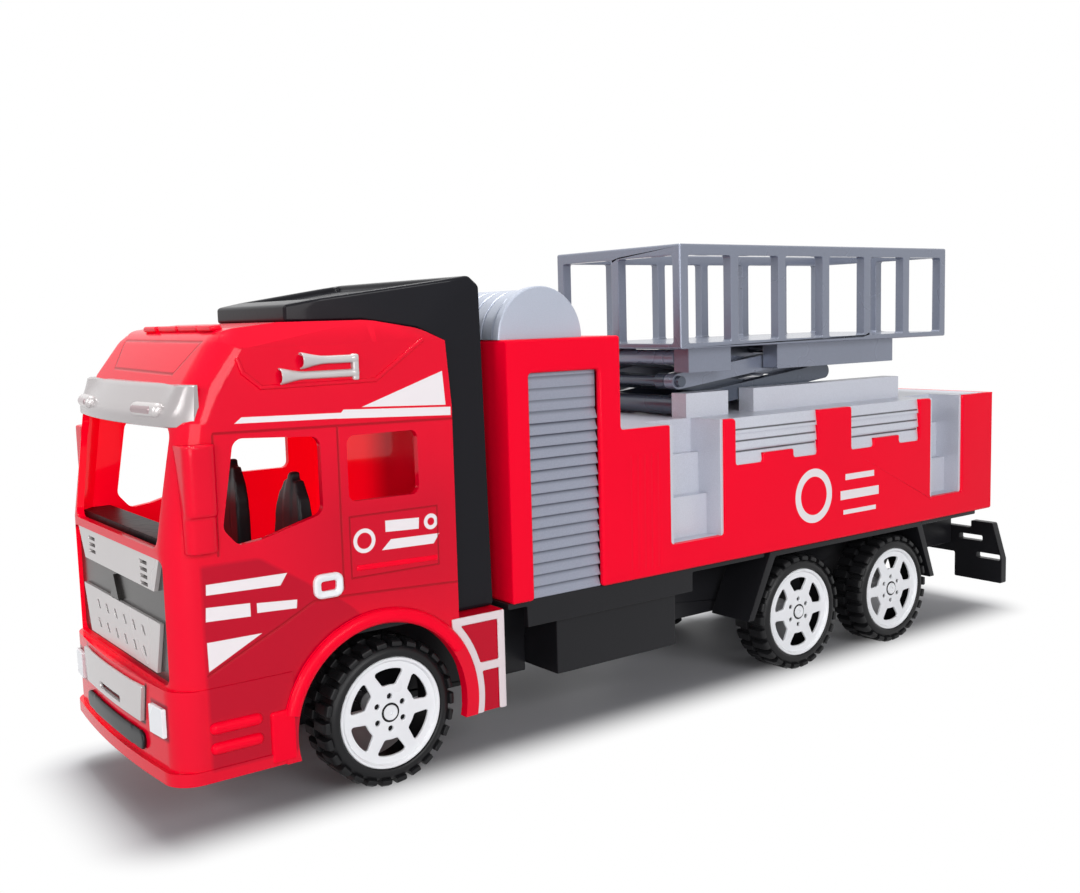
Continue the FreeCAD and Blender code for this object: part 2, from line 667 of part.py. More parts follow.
def side_window_cuts():
    """Door and rear quarter windows, cut through both sides at once."""
    y_span = (-BODY_HALF_WIDTH - CUT_OVERRUN, BODY_HALF_WIDTH + CUT_OVERRUN)
    door = shares_outline(
        DOOR_WINDOW_SHARES, (DOOR_WINDOW_REAR_X, DOOR_WINDOW_FRONT_X), (DOOR_WINDOW_BASE_Z, DOOR_WINDOW_TOP_Z))
    rear = rectangle((REAR_WINDOW_REAR_X, REAR_WINDOW_FRONT_X), (REAR_WINDOW_BASE_Z, REAR_WINDOW_TOP_Z))
    return [plate(door, "xz", y_span, DOOR_WINDOW_CORNER), plate(rear, "xz", y_span, REAR_WINDOW_CORNER)]


def cab_shell():
    """Hollow cab moulding with windows, bumper, wheel arch lips and steps."""
    outside = cab_envelope(0, CAB_SKIRT_Z)
    inside = cab_envelope(CAB_WALL, CAB_SKIRT_Z - 2 * CAB_WALL - CUT_OVERRUN)
    shell = outside.cut(inside)
    rear_gate = block((CAB_REAR_X, CAB_REAR_X + CAB_WALL), (-BODY_HALF_WIDTH + CAB_WALL, BODY_HALF_WIDTH - CAB_WALL),
                      (CAB_SKIRT_Z, CAB_REAR_WALL_Z))
    grille_opening = plate(rectangle((-GRILLE_HALF_WIDTH, GRILLE_HALF_WIDTH), (GRILLE_BASE_Z, GRILLE_TOP_Z)), "yz",
                           (CAB_FRONT_X - CAB_WALL - CUT_OVERRUN, CAB_FRONT_X + CUT_OVERRUN), GRILLE_CORNER)
    additions = [bumper()] + pair(wheel_flare()) + pair(side_step())
    shell = joined([shell] + additions)
    cuts = side_window_cuts() + [windscreen_cut(), wheel_arch_cut(), rear_gate, grille_opening]
    return shell.cut(cuts).removeSplitter()


def grille_surround():
    """Dark panel that fills the grille opening, sunk behind the red wall."""
    seat_x = GRILLE_FACE_X
    fin = [
        (FIN_CENTRE_Y - FIN_HALF_WIDTH, FIN_BASE_Z), (FIN_CENTRE_Y + FIN_HALF_WIDTH, FIN_BASE_Z),
        (FIN_CENTRE_Y, FIN_TOP_Z),
    ]
    panel = plate(rectangle((-GRILLE_HALF_WIDTH, GRILLE_HALF_WIDTH), (GRILLE_BASE_Z, GRILLE_TOP_Z)), "yz",
                  (GRILLE_BACK_X, seat_x), GRILLE_CORNER)
    return joined([panel, plate(fin, "yz", (seat_x, seat_x + GRILLE_PLATE))])


def upper_grille():
    """Silver panel under the windscreen, narrower at its foot, with a few level vents at each end."""
    face_x = GRILLE_FACE_X
    outline = [
        (-UPPER_GRILLE_FOOT_HALF_WIDTH, UPPER_GRILLE_BASE_Z), (UPPER_GRILLE_FOOT_HALF_WIDTH, UPPER_GRILLE_BASE_Z),
        (UPPER_GRILLE_HALF_WIDTH, GRILLE_TOP_Z), (-UPPER_GRILLE_HALF_WIDTH, GRILLE_TOP_Z),
    ]
    x_span = (face_x, face_x + GRILLE_PLATE)
    vents = []
    for side, count in zip((-1, 1), VENT_COUNTS):
        for i in range(count):
            top_z = VENT_TOP_Z - i * VENT_PITCH
            vents.append(block(x_span, (side * VENT_INNER_Y, side * (VENT_INNER_Y + VENT_LENGTH)),
                               (top_z - VENT_HEIGHT, top_z)))
    return plate(outline, "yz", x_span).cut(vents)


def lower_grille():
    """Silver grille with two rows of slanted slots."""
    face_x = GRILLE_FACE_X
    outline = [
        (-LOWER_GRILLE_FOOT_HALF_WIDTH, LOWER_GRILLE_BASE_Z), (LOWER_GRILLE_FOOT_HALF_WIDTH, LOWER_GRILLE_BASE_Z),
        (LOWER_GRILLE_HALF_WIDTH, LOWER_GRILLE_TOP_Z), (-LOWER_GRILLE_HALF_WIDTH, LOWER_GRILLE_TOP_Z),
    ]
    x_span = (face_x, face_x + GRILLE_PLATE)
    slots = []
    for row_z in SLOT_ROWS_Z:
        for i in range(SLOT_COUNT):
            centre_y = (i - (SLOT_COUNT - 1) / 2) * SLOT_PITCH
            slot = [
                (centre_y - SLOT_WIDTH / 2, row_z + SLOT_HEIGHT / 2), (centre_y, row_z - SLOT_HEIGHT / 2),
                (centre_y + SLOT_WIDTH / 2, row_z - SLOT_HEIGHT / 2), (centre_y, row_z + SLOT_HEIGHT / 2),
            ]
            slots.append(plate(slot, "yz", x_span))
    return plate(outline, "yz", x_span).cut(slots)


def number_panel():
    """Blank silver panel in the middle of the bumper, with one level slot."""
    outline = [
        (-NUMBER_PANEL_FOOT_HALF_WIDTH, NUMBER_PANEL_BASE_Z), (NUMBER_PANEL_FOOT_HALF_WIDTH, NUMBER_PANEL_BASE_Z),
        (NUMBER_PANEL_HALF_WIDTH, NUMBER_PANEL_TOP_Z), (-NUMBER_PANEL_HALF_WIDTH, NUMBER_PANEL_TOP_Z),
    ]
    slot = block((CAB_FRONT_X, BUMPER_LIP_X), (-NUMBER_SLOT_HALF_WIDTH, NUMBER_SLOT_HALF_WIDTH),
                 (NUMBER_SLOT_Z - NUMBER_SLOT_HEIGHT / 2, NUMBER_SLOT_Z + NUMBER_SLOT_HEIGHT / 2))
    return on_bumper(GRILLE_PLATE, outline).cut(slot)


def headlamp():
    """Left headlamp on the bumper face."""
    outline = rectangle((HEADLAMP_INNER_Y, HEADLAMP_OUTER_Y), (HEADLAMP_BASE_Z, HEADLAMP_TOP_Z))
    return on_bumper(GRILLE_PLATE, outline)


def fog_bar():
    """Black bar low on the bumper, with round ends."""
    outline = rectangle((-FOG_BAR_HALF_WIDTH, FOG_BAR_HALF_WIDTH), (FOG_BAR_BASE_Z, FOG_BAR_TOP_Z))
    return on_bumper(FOG_BAR_PROUD, outline, FOG_BAR_CORNER)


def visor():
    """Bright sun visor over the windscreen, wrapped round both corners."""
    foot_z = SCREEN_TOP_Z - VISOR_FOOT_DROP
    head_z = VISOR_TOP_Z - VISOR_HEAD_DROP
    profile = [
        (SCREEN_TOP_X - CAB_CORNER_RADIUS, foot_z), (VISOR_LIP_X, foot_z),
        (VISOR_LIP_X - VISOR_LIP_SETBACK, foot_z + VISOR_LIP_HEIGHT),
        (VISOR_TOP_X + VISOR_THICKNESS, head_z), (VISOR_TOP_X - CAB_CORNER_RADIUS, head_z),
    ]
    half = VISOR_HALF_WIDTH
    band = plate(profile, "xz", (-half, half))
    footprint = bowed_form(VISOR_FRONT_X, half, (foot_z, head_z), VISOR_CORNER, VISOR_BOW, SCREEN_TOP_X - VISOR_CORNER * 2)
    footprint = footprint.common(block((VISOR_REAR_X, VISOR_LIP_X), (-half, half), (foot_z, head_z)))
    visor_band = band.common(footprint)
    pod = block((SCREEN_TOP_X, VISOR_LIP_X - VISOR_LIP_SETBACK + VISOR_LAMP_PROUD), VISOR_LAMP_Y, VISOR_LAMP_Z)
    return joined([visor_band] + pair(pod)).cut(cab_envelope(0, CAB_SKIRT_Z)).removeSplitter()


def mirror_housing():
    """Left mirror: a tall upper housing over a smaller lower one, on the corner post."""
    x_span = (MIRROR_REAR_X, MIRROR_FRONT_X)
    root_y = BODY_HALF_WIDTH - CAB_CORNER_RADIUS
    lower_y = BODY_HALF_WIDTH + MIRROR_REACH * MIRROR_LOWER_REACH_SHARE
    upper = plate(rectangle(x_span, (root_y, BODY_HALF_WIDTH + MIRROR_REACH)), "xy",
                  (MIRROR_WAIST_Z, MIRROR_TOP_Z), MIRROR_CORNER)
    lower = plate(rectangle(x_span, (root_y, lower_y)), "xy", (MIRROR_BASE_Z, MIRROR_WAIST_Z), MIRROR_CORNER)
    return joined([upper, lower]).cut(cab_envelope(0, CAB_SKIRT_Z))


def air_horns():
    """Two horns on the left side of the roof, held by one bracket."""
    def horn(bell_x, z):
        profile = [
            Vector(HORN_REAR_X, HORN_CENTRE_Y, z), Vector(HORN_REAR_X, HORN_CENTRE_Y, z + HORN_TUBE_RADIUS),
            Vector(bell_x - HORN_BELL_LENGTH, HORN_CENTRE_Y, z + HORN_TUBE_RADIUS),
            Vector(bell_x, HORN_CENTRE_Y, z + HORN_BELL_RADIUS), Vector(bell_x, HORN_CENTRE_Y, z),
        ]
        face = Part.Face(Part.makePolygon(profile + profile[:1]))
        return face.revolve(Vector(0, HORN_CENTRE_Y, z), ALONG_X, 360)

    bracket = block((HORN_REAR_X, HORN_REAR_X + HORN_BRACKET), (HORN_CENTRE_Y, HORN_CENTRE_Y + HORN_BELL_RADIUS / 2),
                    (HORN_LOWER_Z - HORN_BELL_RADIUS, HORN_UPPER_Z + HORN_BELL_RADIUS / 2))
    horns = [horn(HORN_BELL_X, HORN_LOWER_Z), horn(HORN_BELL_X - HORN_SETBACK, HORN_UPPER_Z), bracket]
    return joined(horns).cut(cab_envelope(0, CAB_SKIRT_Z))


def cab_interior():
    """Black floor moulding with a front and a rear pair of seats."""
    inside = cab_envelope(CAB_WALL, CAB_SKIRT_Z)
    floor = inside.common(block((CAB_REAR_X, GRILLE_BACK_X), (-BODY_HALF_WIDTH, BODY_HALF_WIDTH),
                                (BODY_BASE_Z, FLOOR_Z)))
    seats = []
    for back_x, top_z in ((FRONT_SEAT_X, FRONT_SEAT_TOP_Z), (REAR_SEAT_X, REAR_SEAT_TOP_Z)):
        seats += pair(seat(back_x, top_z))
    return joined([floor] + seats)


def seat(back_x, top_z):
    """Left seat of a row: a cushion block and a back with a tapered top."""
    y_low, y_high = SEAT_Y - SEAT_WIDTH / 2, SEAT_Y + SEAT_WIDTH / 2
    shoulder_z = top_z - SEAT_WIDTH
    taper = SEAT_WIDTH * SEAT_TOP_TAPER_SHARE
    outline = [
        (y_low, FLOOR_Z), (y_high, FLOOR_Z), (y_high, shoulder_z), (y_high - taper, top_z),
        (y_low + taper, top_z), (y_low, shoulder_z),
    ]
    back = plate(outline, "yz", (back_x, back_x + SEAT_BACK_THICKNESS))
    cushion = block((back_x + SEAT_BACK_THICKNESS, back_x + SEAT_BACK_THICKNESS + SEAT_CUSHION_LENGTH),
                    (y_low, y_high), (FLOOR_Z, SEAT_CUSHION_TOP_Z))
    return joined([back, cushion])


def dashboard():
    """Black dashboard behind the foot of the windscreen."""
    inside = cab_envelope(CAB_WALL, CAB_SKIRT_Z)
    return inside.common(block((GRILLE_BACK_X - DASH_DEPTH, GRILLE_BACK_X), (-BODY_HALF_WIDTH, BODY_HALF_WIDTH),
                               (DASH_TOP_Z - DASH_HEIGHT, DASH_TOP_Z)))


def deflector_plan(inset):
    """Upright form with the deflector's plan, which narrows towards its nose."""
    half = DEFLECTOR_HALF_WIDTH
    plan = [
        (DEFLECTOR_FRONT_X, DEFLECTOR_NOSE_HALF_WIDTH), (CAB_REAR_X, half), (DEFLECTOR_REAR_X, half),
        (DEFLECTOR_REAR_X, -half), (CAB_REAR_X, -half), (DEFLECTOR_FRONT_X, -DEFLECTOR_NOSE_HALF_WIDTH),
    ]
    return inset_plate(plan, "xy", (BODY_BASE_Z - CUT_OVERRUN, DEFLECTOR_CREST_Z + CUT_OVERRUN), inset)


def wind_deflector():
    """Black roof deflector in one piece with the panel that closes the back of the cab."""
    outline = [
        (DEFLECTOR_FRONT_X, ROOF_CREST_Z - DEFLECTOR_SEAT), (DEFLECTOR_FRONT_X, DEFLECTOR_LIP_Z),
        (DEFLECTOR_KNEE_X, DEFLECTOR_KNEE_Z), (DEFLECTOR_CREST_X, DEFLECTOR_CREST_Z),
        (DEFLECTOR_REAR_X + DEFLECTOR_REAR_EDGE, DEFLECTOR_REAR_Z), (DEFLECTOR_REAR_X, BODY_BASE_Z),
        (CAB_REAR_X, BODY_BASE_Z), (CAB_REAR_X, ROOF_REAR_Z - DEFLECTOR_SEAT),
    ]
    y_span = (-DEFLECTOR_HALF_WIDTH, DEFLECTOR_HALF_WIDTH)
    hollow_y = DEFLECTOR_HALF_WIDTH - DEFLECTOR_RIM
    hollow = block((CAB_REAR_X - CUT_OVERRUN * 2, CAB_REAR_X + CUT_OVERRUN), (-hollow_y, hollow_y),
                   (BODY_BASE_Z - CUT_OVERRUN, ROOF_REAR_Z))
    slope = math.atan2(DEFLECTOR_CREST_Z - DEFLECTOR_KNEE_Z, DEFLECTOR_KNEE_X - DEFLECTOR_CREST_X)
    recess = block((DEFLECTOR_CREST_X + DEFLECTOR_RIM, DEFLECTOR_KNEE_X), (-hollow_y, hollow_y),
                   (DEFLECTOR_KNEE_Z - DEFLECTOR_RECESS, DEFLECTOR_KNEE_Z + DEFLECTOR_RECESS * 3))
    recess.rotate(Vector(DEFLECTOR_KNEE_X, 0, DEFLECTOR_KNEE_Z), ALONG_Y, math.degrees(slope))
    recess = recess.common(deflector_plan(DEFLECTOR_RIM))
    under = [
        (DEFLECTOR_FRONT_X - DEFLECTOR_WALL, ROOF_FRONT_Z), (DEFLECTOR_FRONT_X - DEFLECTOR_WALL, DEFLECTOR_LIP_Z - DEFLECTOR_RIM),
        (DEFLECTOR_KNEE_X, DEFLECTOR_KNEE_Z - DEFLECTOR_RIM),
        (CAB_REAR_X, DEFLECTOR_CREST_Z - DEFLECTOR_RIM * 2), (CAB_REAR_X, ROOF_REAR_Z - DEFLECTOR_RIM),
    ]
    under_y = DEFLECTOR_HALF_WIDTH - DEFLECTOR_WALL
    cavity = plate(under, "xz", (-under_y, under_y)).common(deflector_plan(DEFLECTOR_WALL))
    body = plate(outline, "xz", y_span).common(deflector_plan(0)).cut([hollow, recess, cavity])
    return body.cut(cab_envelope(0, CAB_SKIRT_Z)).removeSplitter()


def body_shell():
    """Red moulding: tall cabinet in front, low bed behind, open below and over the bed."""
    y_span = (-BODY_HALF_WIDTH, BODY_HALF_WIDTH)
    inner_y = BODY_HALF_WIDTH - BODY_WALL
    cabinet = block((CABINET_FRONT_X, CABINET_REAR_X), y_span, (BODY_BASE_Z, CABINET_TOP_Z))
    bed = block((CABINET_REAR_X, BED_REAR_X), y_span, (BODY_BASE_Z, BED_TOP_Z))
    cabinet_space = block((CABINET_FRONT_X - BODY_WALL, CABINET_REAR_X + BODY_WALL), (-inner_y, inner_y),
                          (BODY_BASE_Z - CUT_OVERRUN, CABINET_TOP_Z - BODY_WALL))
    bed_space = block((CABINET_REAR_X + BODY_WALL, BED_REAR_X + BODY_WALL), (-inner_y, inner_y),
                      (BODY_BASE_Z - CUT_OVERRUN, BED_TOP_Z))
    open_top = block((CABINET_REAR_X, BED_REAR_X + BODY_WALL), (-inner_y, inner_y),
                     (BED_TOP_Z - BODY_WALL, BED_TOP_Z + CUT_OVERRUN))
    shell = joined([cabinet, bed]).cut([cabinet_space, bed_space, open_top])
    cut_y = (-BODY_HALF_WIDTH - CUT_OVERRUN, BODY_HALF_WIDTH + CUT_OVERRUN)
    over_bed = (BED_TOP_Z, BED_TOP_Z + CUT_OVERRUN)
    cuts = [
        block((SHUTTER_FRONT_X, SHUTTER_REAR_X), cut_y, (BODY_BASE_Z - CUT_OVERRUN, SHUTTER_TOP_Z)),
        block((STAIR_FRONT_X, STAIR_REAR_X), cut_y, (STAIR_BASE_Z, over_bed[1])),
        block((REAR_STAIR_FRONT_X, REAR_STAIR_REAR_X), cut_y, (STAIR_BASE_Z, over_bed[1])),
    ]
    for front_x, rear_x in zip(LOUVRE_FRONT_XS, LOUVRE_REAR_XS):
        cuts.append(plate(louvre_outline(front_x, rear_x, over_bed[1]), "xz", cut_y))
    return shell.cut(cuts).removeSplitter()


def louvre_outline(front_x, rear_x, top_z):
    """Opening of a louvre, with the step that rises in the middle of its foot."""
    length = rear_x - front_x
    notch_front = front_x + length * LOUVRE_NOTCH_START_SHARE
    notch_rear = front_x + length * LOUVRE_NOTCH_END_SHARE
    return [
        (front_x, top_z), (front_x, LOUVRE_BASE_Z), (notch_front, LOUVRE_BASE_Z), (notch_front, LOUVRE_NOTCH_Z),
        (notch_rear, LOUVRE_NOTCH_Z), (notch_rear, LOUVRE_BASE_Z), (rear_x, LOUVRE_BASE_Z), (rear_x, top_z),
    ]


def roller_shutter():
    """Left roller shutter: overlapping slats in one moulding."""
    outer_y = BODY_HALF_WIDTH - SHUTTER_DEPTH
    inner_y = outer_y - SHUTTER_THICKNESS
    pitch = (SHUTTER_TOP_Z - BODY_BASE_Z) / SHUTTER_SLATS
    outline = [(inner_y, BODY_BASE_Z)]
    for i in range(SHUTTER_SLATS):
        foot_z = BODY_BASE_Z + i * pitch
        outline += [(outer_y, foot_z), (outer_y - SHUTTER_SLAT_LIFT, foot_z + pitch)]
    outline.append((inner_y, SHUTTER_TOP_Z))
    return plate(outline, "yz", (SHUTTER_REAR_X, SHUTTER_FRONT_X))


def stair_recess(front_x, rear_x):
    """Left climbing recess: three steps up to the deck, open at the side and above."""
    x_span = (front_x, rear_x)
    inner_y = BODY_HALF_WIDTH - BODY_WALL
    back_y = BODY_HALF_WIDTH - STAIR_DEPTHS[-1] - STAIR_WALL
    tub = block(x_span, (back_y, inner_y), (STAIR_BASE_Z - STAIR_WALL, BED_TOP_Z))
    frame = block(x_span, (inner_y, BODY_HALF_WIDTH - LOUVRE_DEPTH), (STAIR_BASE_Z, BED_TOP_Z))
    inside_x = (front_x - STAIR_WALL, rear_x + STAIR_WALL)
    treads = (STAIR_BASE_Z,) + STAIR_TREAD_Z
    steps = [
        block(inside_x, (BODY_HALF_WIDTH - depth, BODY_HALF_WIDTH + CUT_OVERRUN), (tread_z, BED_TOP_Z + CUT_OVERRUN))
        for tread_z, depth in zip(treads, STAIR_DEPTHS)
    ]
    return joined([tub, frame]).cut(steps)


def louvre_panel(front_x, rear_x):
    """Left louvre: three sloping slats that fill their opening."""
    outer_y = BODY_HALF_WIDTH - LOUVRE_DEPTH
    inner_y = BODY_HALF_WIDTH - BODY_WALL
    pitch = (BED_TOP_Z - LOUVRE_BASE_Z) / LOUVRE_SLATS
    section = [(inner_y, LOUVRE_BASE_Z)]
    for i in range(LOUVRE_SLATS):
        foot_z = LOUVRE_BASE_Z + i * pitch
        section += [(outer_y, foot_z), (outer_y - LOUVRE_SLAT_LIFT, foot_z + pitch)]
    section.append((inner_y, BED_TOP_Z))
    slats = plate(section, "yz", (front_x, rear_x))
    return slats.common(plate(louvre_outline(front_x, rear_x, BED_TOP_Z), "xz", (inner_y, outer_y)))


def track_slot(z):
    """Groove in which the sliding pins of the lift run, cut on the left."""
    end_x = REAR_PIN_X - PIN_RADIUS - SLIDE_GAP
    start_x = TRACK_FRONT_X
    return block((start_x, end_x), (RAIL_INNER_Y - CUT_OVERRUN, RAIL_INNER_Y + PIN_REACH + SLIDE_GAP),
                 (z - PIN_RADIUS - FIT_GAP, z + PIN_RADIUS + FIT_GAP))


def pin_bore(z):
    """Blind bore for a fixed pivot pin of the lift, cut on the left."""
    return bar(PIVOT_X, z, (RAIL_INNER_Y - CUT_OVERRUN, RAIL_INNER_Y + PIN_REACH + SLIDE_GAP), PIN_RADIUS + FIT_GAP)


def deck_insert():
    """Silver deck moulding: floor, climbing recesses, louvres and the lift's four rails."""
    inner_y = BODY_HALF_WIDTH - BODY_WALL
    floor = block((CABINET_REAR_X, BED_REAR_X + BODY_WALL), (-inner_y, inner_y),
                  (BED_TOP_Z - DECK_THICKNESS, BED_TOP_Z))
    stair_back_y = BODY_HALF_WIDTH - STAIR_DEPTHS[-1]
    stairs = ((STAIR_FRONT_X, STAIR_REAR_X), (REAR_STAIR_FRONT_X, REAR_STAIR_REAR_X))
    wells = [
        block(x_span, (stair_back_y, BODY_HALF_WIDTH), (BED_TOP_Z - DECK_THICKNESS, BED_TOP_Z))
        for x_span in stairs
    ]
    left = [stair_recess(*x_span) for x_span in stairs]
    left += [louvre_panel(*x_span) for x_span in zip(LOUVRE_FRONT_XS, LOUVRE_REAR_XS)]
    rail_y = (RAIL_INNER_Y, RAIL_OUTER_Y)
    rail_z = (BED_TOP_Z, RAIL_TOP_Z)
    left.append(block((FRONT_RAIL_FRONT_X, FRONT_RAIL_REAR_X), rail_y, rail_z).cut(pin_bore(LOWER_PIN_Z)))
    left.append(block((REAR_RAIL_FRONT_X, REAR_RAIL_REAR_X), rail_y, rail_z).cut(track_slot(LOWER_PIN_Z)))
    floor = floor.cut([well for form in wells for well in pair(form)])
    return joined([floor] + [form for item in left for form in pair(item)])


def drum():
    """Half-round drum lying across the cabinet roof, with end flanges and a banded shell."""
    above = block((DRUM_X - DRUM_RADIUS, DRUM_X + DRUM_RADIUS), (-DRUM_HALF_LENGTH, DRUM_HALF_LENGTH),
                  (CABINET_TOP_Z, CABINET_TOP_Z + DRUM_RADIUS))
    shell = bar(DRUM_X, CABINET_TOP_Z, (-DRUM_HALF_LENGTH, DRUM_HALF_LENGTH), DRUM_RADIUS - DRUM_GROOVE)
    flange = bar(DRUM_X, CABINET_TOP_Z, (DRUM_HALF_LENGTH - DRUM_FLANGE, DRUM_HALF_LENGTH), DRUM_RADIUS)
    middle_band = bar(DRUM_X, CABINET_TOP_Z, (-DRUM_BAND / 2, DRUM_BAND / 2), DRUM_RADIUS)
    hollow_y = DRUM_HALF_LENGTH - DRUM_WALL
    hollow = bar(DRUM_X, CABINET_TOP_Z, (-hollow_y, hollow_y), DRUM_RADIUS - DRUM_GROOVE - DRUM_WALL)
    return joined([shell, middle_band] + pair(flange)).common(above).cut(hollow)


def axle_bores():
    """Running bores for the three axles."""
    span = (-BODY_HALF_WIDTH, BODY_HALF_WIDTH)
    return [bar(x, TYRE_RADIUS, span, AXLE_RADIUS + FIT_GAP) for x in (FRONT_AXLE_X, MIDDLE_AXLE_X, REAR_AXLE_X)]


def chassis_frame():
    """Black chassis moulding: top plate, side rails, and the spine that carries the axles."""
    wide = (-CHASSIS_HALF_WIDTH, CHASSIS_HALF_WIDTH)
    plate_z = (BODY_BASE_Z - PLATE_THICKNESS, BODY_BASE_Z)
    front_plate = block((PLATE_FRONT_X, MUDGUARD_FRONT_X - MUDGUARD_FRONT_SLANT + PLATE_THICKNESS), wide, plate_z)
    bay_plate = block((PLATE_FRONT_X, PLATE_REAR_X), (-MUDGUARD_INNER_Y, MUDGUARD_INNER_Y), plate_z)
    tail_plate = block((MUDGUARD_REAR_X + MUDGUARD_REAR_SLANT - PLATE_THICKNESS, PLATE_REAR_X), wide, plate_z)
    rail = block((SIDE_RAIL_FRONT_X, SIDE_RAIL_REAR_X), (CHASSIS_HALF_WIDTH - SIDE_RAIL_WALL, CHASSIS_HALF_WIDTH),
                 (CHASSIS_PLATE_BASE_Z, BODY_BASE_Z))
    spine_y = (-SPINE_HALF_WIDTH, SPINE_HALF_WIDTH)
    front_spine = block((SPINE_FRONT_X, SIDE_BOX_FRONT_X), spine_y, (SPINE_BASE_Z, BODY_BASE_Z))
    link_spine = block((SIDE_BOX_FRONT_X, SPINE_NOSE_X), spine_y, (SPINE_SHOULDER_Z, BODY_BASE_Z))
    belly = [
        (SPINE_NOSE_X, BODY_BASE_Z), (SPINE_NOSE_X, SPINE_SHOULDER_Z), (SPINE_NOSE_X - SPINE_SLOPE, SPINE_BELLY_Z),
        (MUDGUARD_FRONT_X - SPINE_SLOPE, SPINE_BELLY_Z), (MUDGUARD_FRONT_X - SPINE_SLOPE * 2, SPINE_BASE_Z),
        (MUDGUARD_REAR_X + SPINE_SLOPE, SPINE_BASE_Z), (MUDGUARD_REAR_X, SPINE_SHOULDER_Z),
        (SPINE_TAIL_X, SPINE_SHOULDER_Z), (SPINE_TAIL_X, BODY_BASE_Z),
    ]
    rear_spine = plate(belly, "xz", spine_y)
    arm = block((SPINE_TAIL_X, REAR_BUMPER_FACE_X), REAR_ARM_Y, REAR_ARM_Z)
    riser = block((SPINE_TAIL_X, PLATE_REAR_X), REAR_ARM_Y, (REAR_ARM_Z[1], BODY_BASE_Z))
    hollow_y = (-SPINE_HALF_WIDTH + SPINE_WALL, SPINE_HALF_WIDTH - SPINE_WALL)
    under_z = SPINE_BASE_Z - CUT_OVERRUN
    hollows = [
        block((SPINE_FRONT_X - SPINE_WALL, SIDE_BOX_FRONT_X + SPINE_WALL), hollow_y,
              (under_z, BODY_BASE_Z - SPINE_WALL)),
        block((SIDE_BOX_REAR_X - SPINE_WALL, SPINE_TAIL_X + SPINE_WALL), hollow_y,
              (under_z, BODY_BASE_Z - PLATE_THICKNESS)),
    ]
    forms = [front_plate, bay_plate, tail_plate, front_spine, link_spine, rear_spine]
    forms += pair(rail) + pair(arm) + pair(riser)
    return joined(forms).cut(hollows + axle_bores())


def side_box():
    """Equipment box slung under the chassis between the axles."""
    whole = block((SIDE_BOX_FRONT_X, SIDE_BOX_REAR_X), (-SIDE_BOX_HALF_WIDTH, SIDE_BOX_HALF_WIDTH),
                  (SIDE_BOX_BASE_Z, BODY_BASE_Z - PLATE_THICKNESS))
    channel = block((SIDE_BOX_FRONT_X, SIDE_BOX_REAR_X), (-SPINE_HALF_WIDTH, SPINE_HALF_WIDTH),
                    (SPINE_SHOULDER_Z, BODY_BASE_Z))
    hollows = pair(block((SIDE_BOX_FRONT_X - SIDE_BOX_WALL, SIDE_BOX_REAR_X + SIDE_BOX_WALL),
                         (SPINE_HALF_WIDTH + SIDE_BOX_WALL, SIDE_BOX_HALF_WIDTH - SIDE_BOX_WALL),
                         (SIDE_BOX_BASE_Z + SIDE_BOX_WALL, BODY_BASE_Z)))
    return whole.cut([channel] + hollows)


def mudguard():
    """Left rear mudguard: one flat-topped arch over both wheels."""
    top_z = BODY_BASE_Z
    outer = [
        (MUDGUARD_FRONT_X, MUDGUARD_FOOT_Z), (MUDGUARD_FRONT_X - MUDGUARD_FRONT_SLANT, top_z),
        (MUDGUARD_REAR_X + MUDGUARD_REAR_SLANT, top_z), (MUDGUARD_REAR_X, MUDGUARD_FOOT_Z),
        (MUDGUARD_REAR_X + MUDGUARD_LEG, MUDGUARD_FOOT_Z),
        (MUDGUARD_REAR_X + MUDGUARD_REAR_SLANT + MUDGUARD_LEG, top_z - PLATE_THICKNESS),
        (MUDGUARD_FRONT_X - MUDGUARD_FRONT_SLANT - MUDGUARD_LEG, top_z - PLATE_THICKNESS),
        (MUDGUARD_FRONT_X - MUDGUARD_LEG, MUDGUARD_FOOT_Z),
    ]
    return plate(outer, "xz", (MUDGUARD_INNER_Y, MUDGUARD_OUTER_Y))


def rear_bumper():
    """Black rear bumper: a slotted beam with a flap at each end."""
    x_span = (REAR_BUMPER_FACE_X, REAR_BUMPER_FACE_X - REAR_BUMPER_THICKNESS)
    beam = block(x_span, (-REAR_BEAM_HALF_WIDTH, REAR_BEAM_HALF_WIDTH), (REAR_BEAM_BASE_Z, REAR_BEAM_TOP_Z))
    end = [
        (REAR_FLAP_INNER_Y, REAR_FLAP_BASE_Z), (REAR_FLAP_OUTER_Y, REAR_FLAP_BASE_Z),
        (REAR_FLAP_OUTER_Y, REAR_BEAM_BASE_Z), (REAR_BEAM_HALF_WIDTH - FIT_GAP, REAR_BEAM_HORN_Z),
        (REAR_BEAM_HORN_Y, REAR_BEAM_HORN_Z), (REAR_BEAM_HORN_Y, REAR_BEAM_TOP_Z - FIT_GAP),
        (REAR_FLAP_INNER_Y, REAR_BEAM_BASE_Z),
    ]
    flap = plate(end, "yz", x_span)
    slots = []
    for y, z in (REAR_UPPER_SLOT, REAR_LOWER_SLOT):
        slots.append(block((x_span[0] + CUT_OVERRUN, x_span[1] - CUT_OVERRUN), (y, y + REAR_SLOT_LENGTH),
                           (z - REAR_SLOT_HEIGHT / 2, z + REAR_SLOT_HEIGHT / 2)))
    forms = [beam] + pair(flap)
    return joined(forms).cut([slot for form in slots for slot in pair(form)])


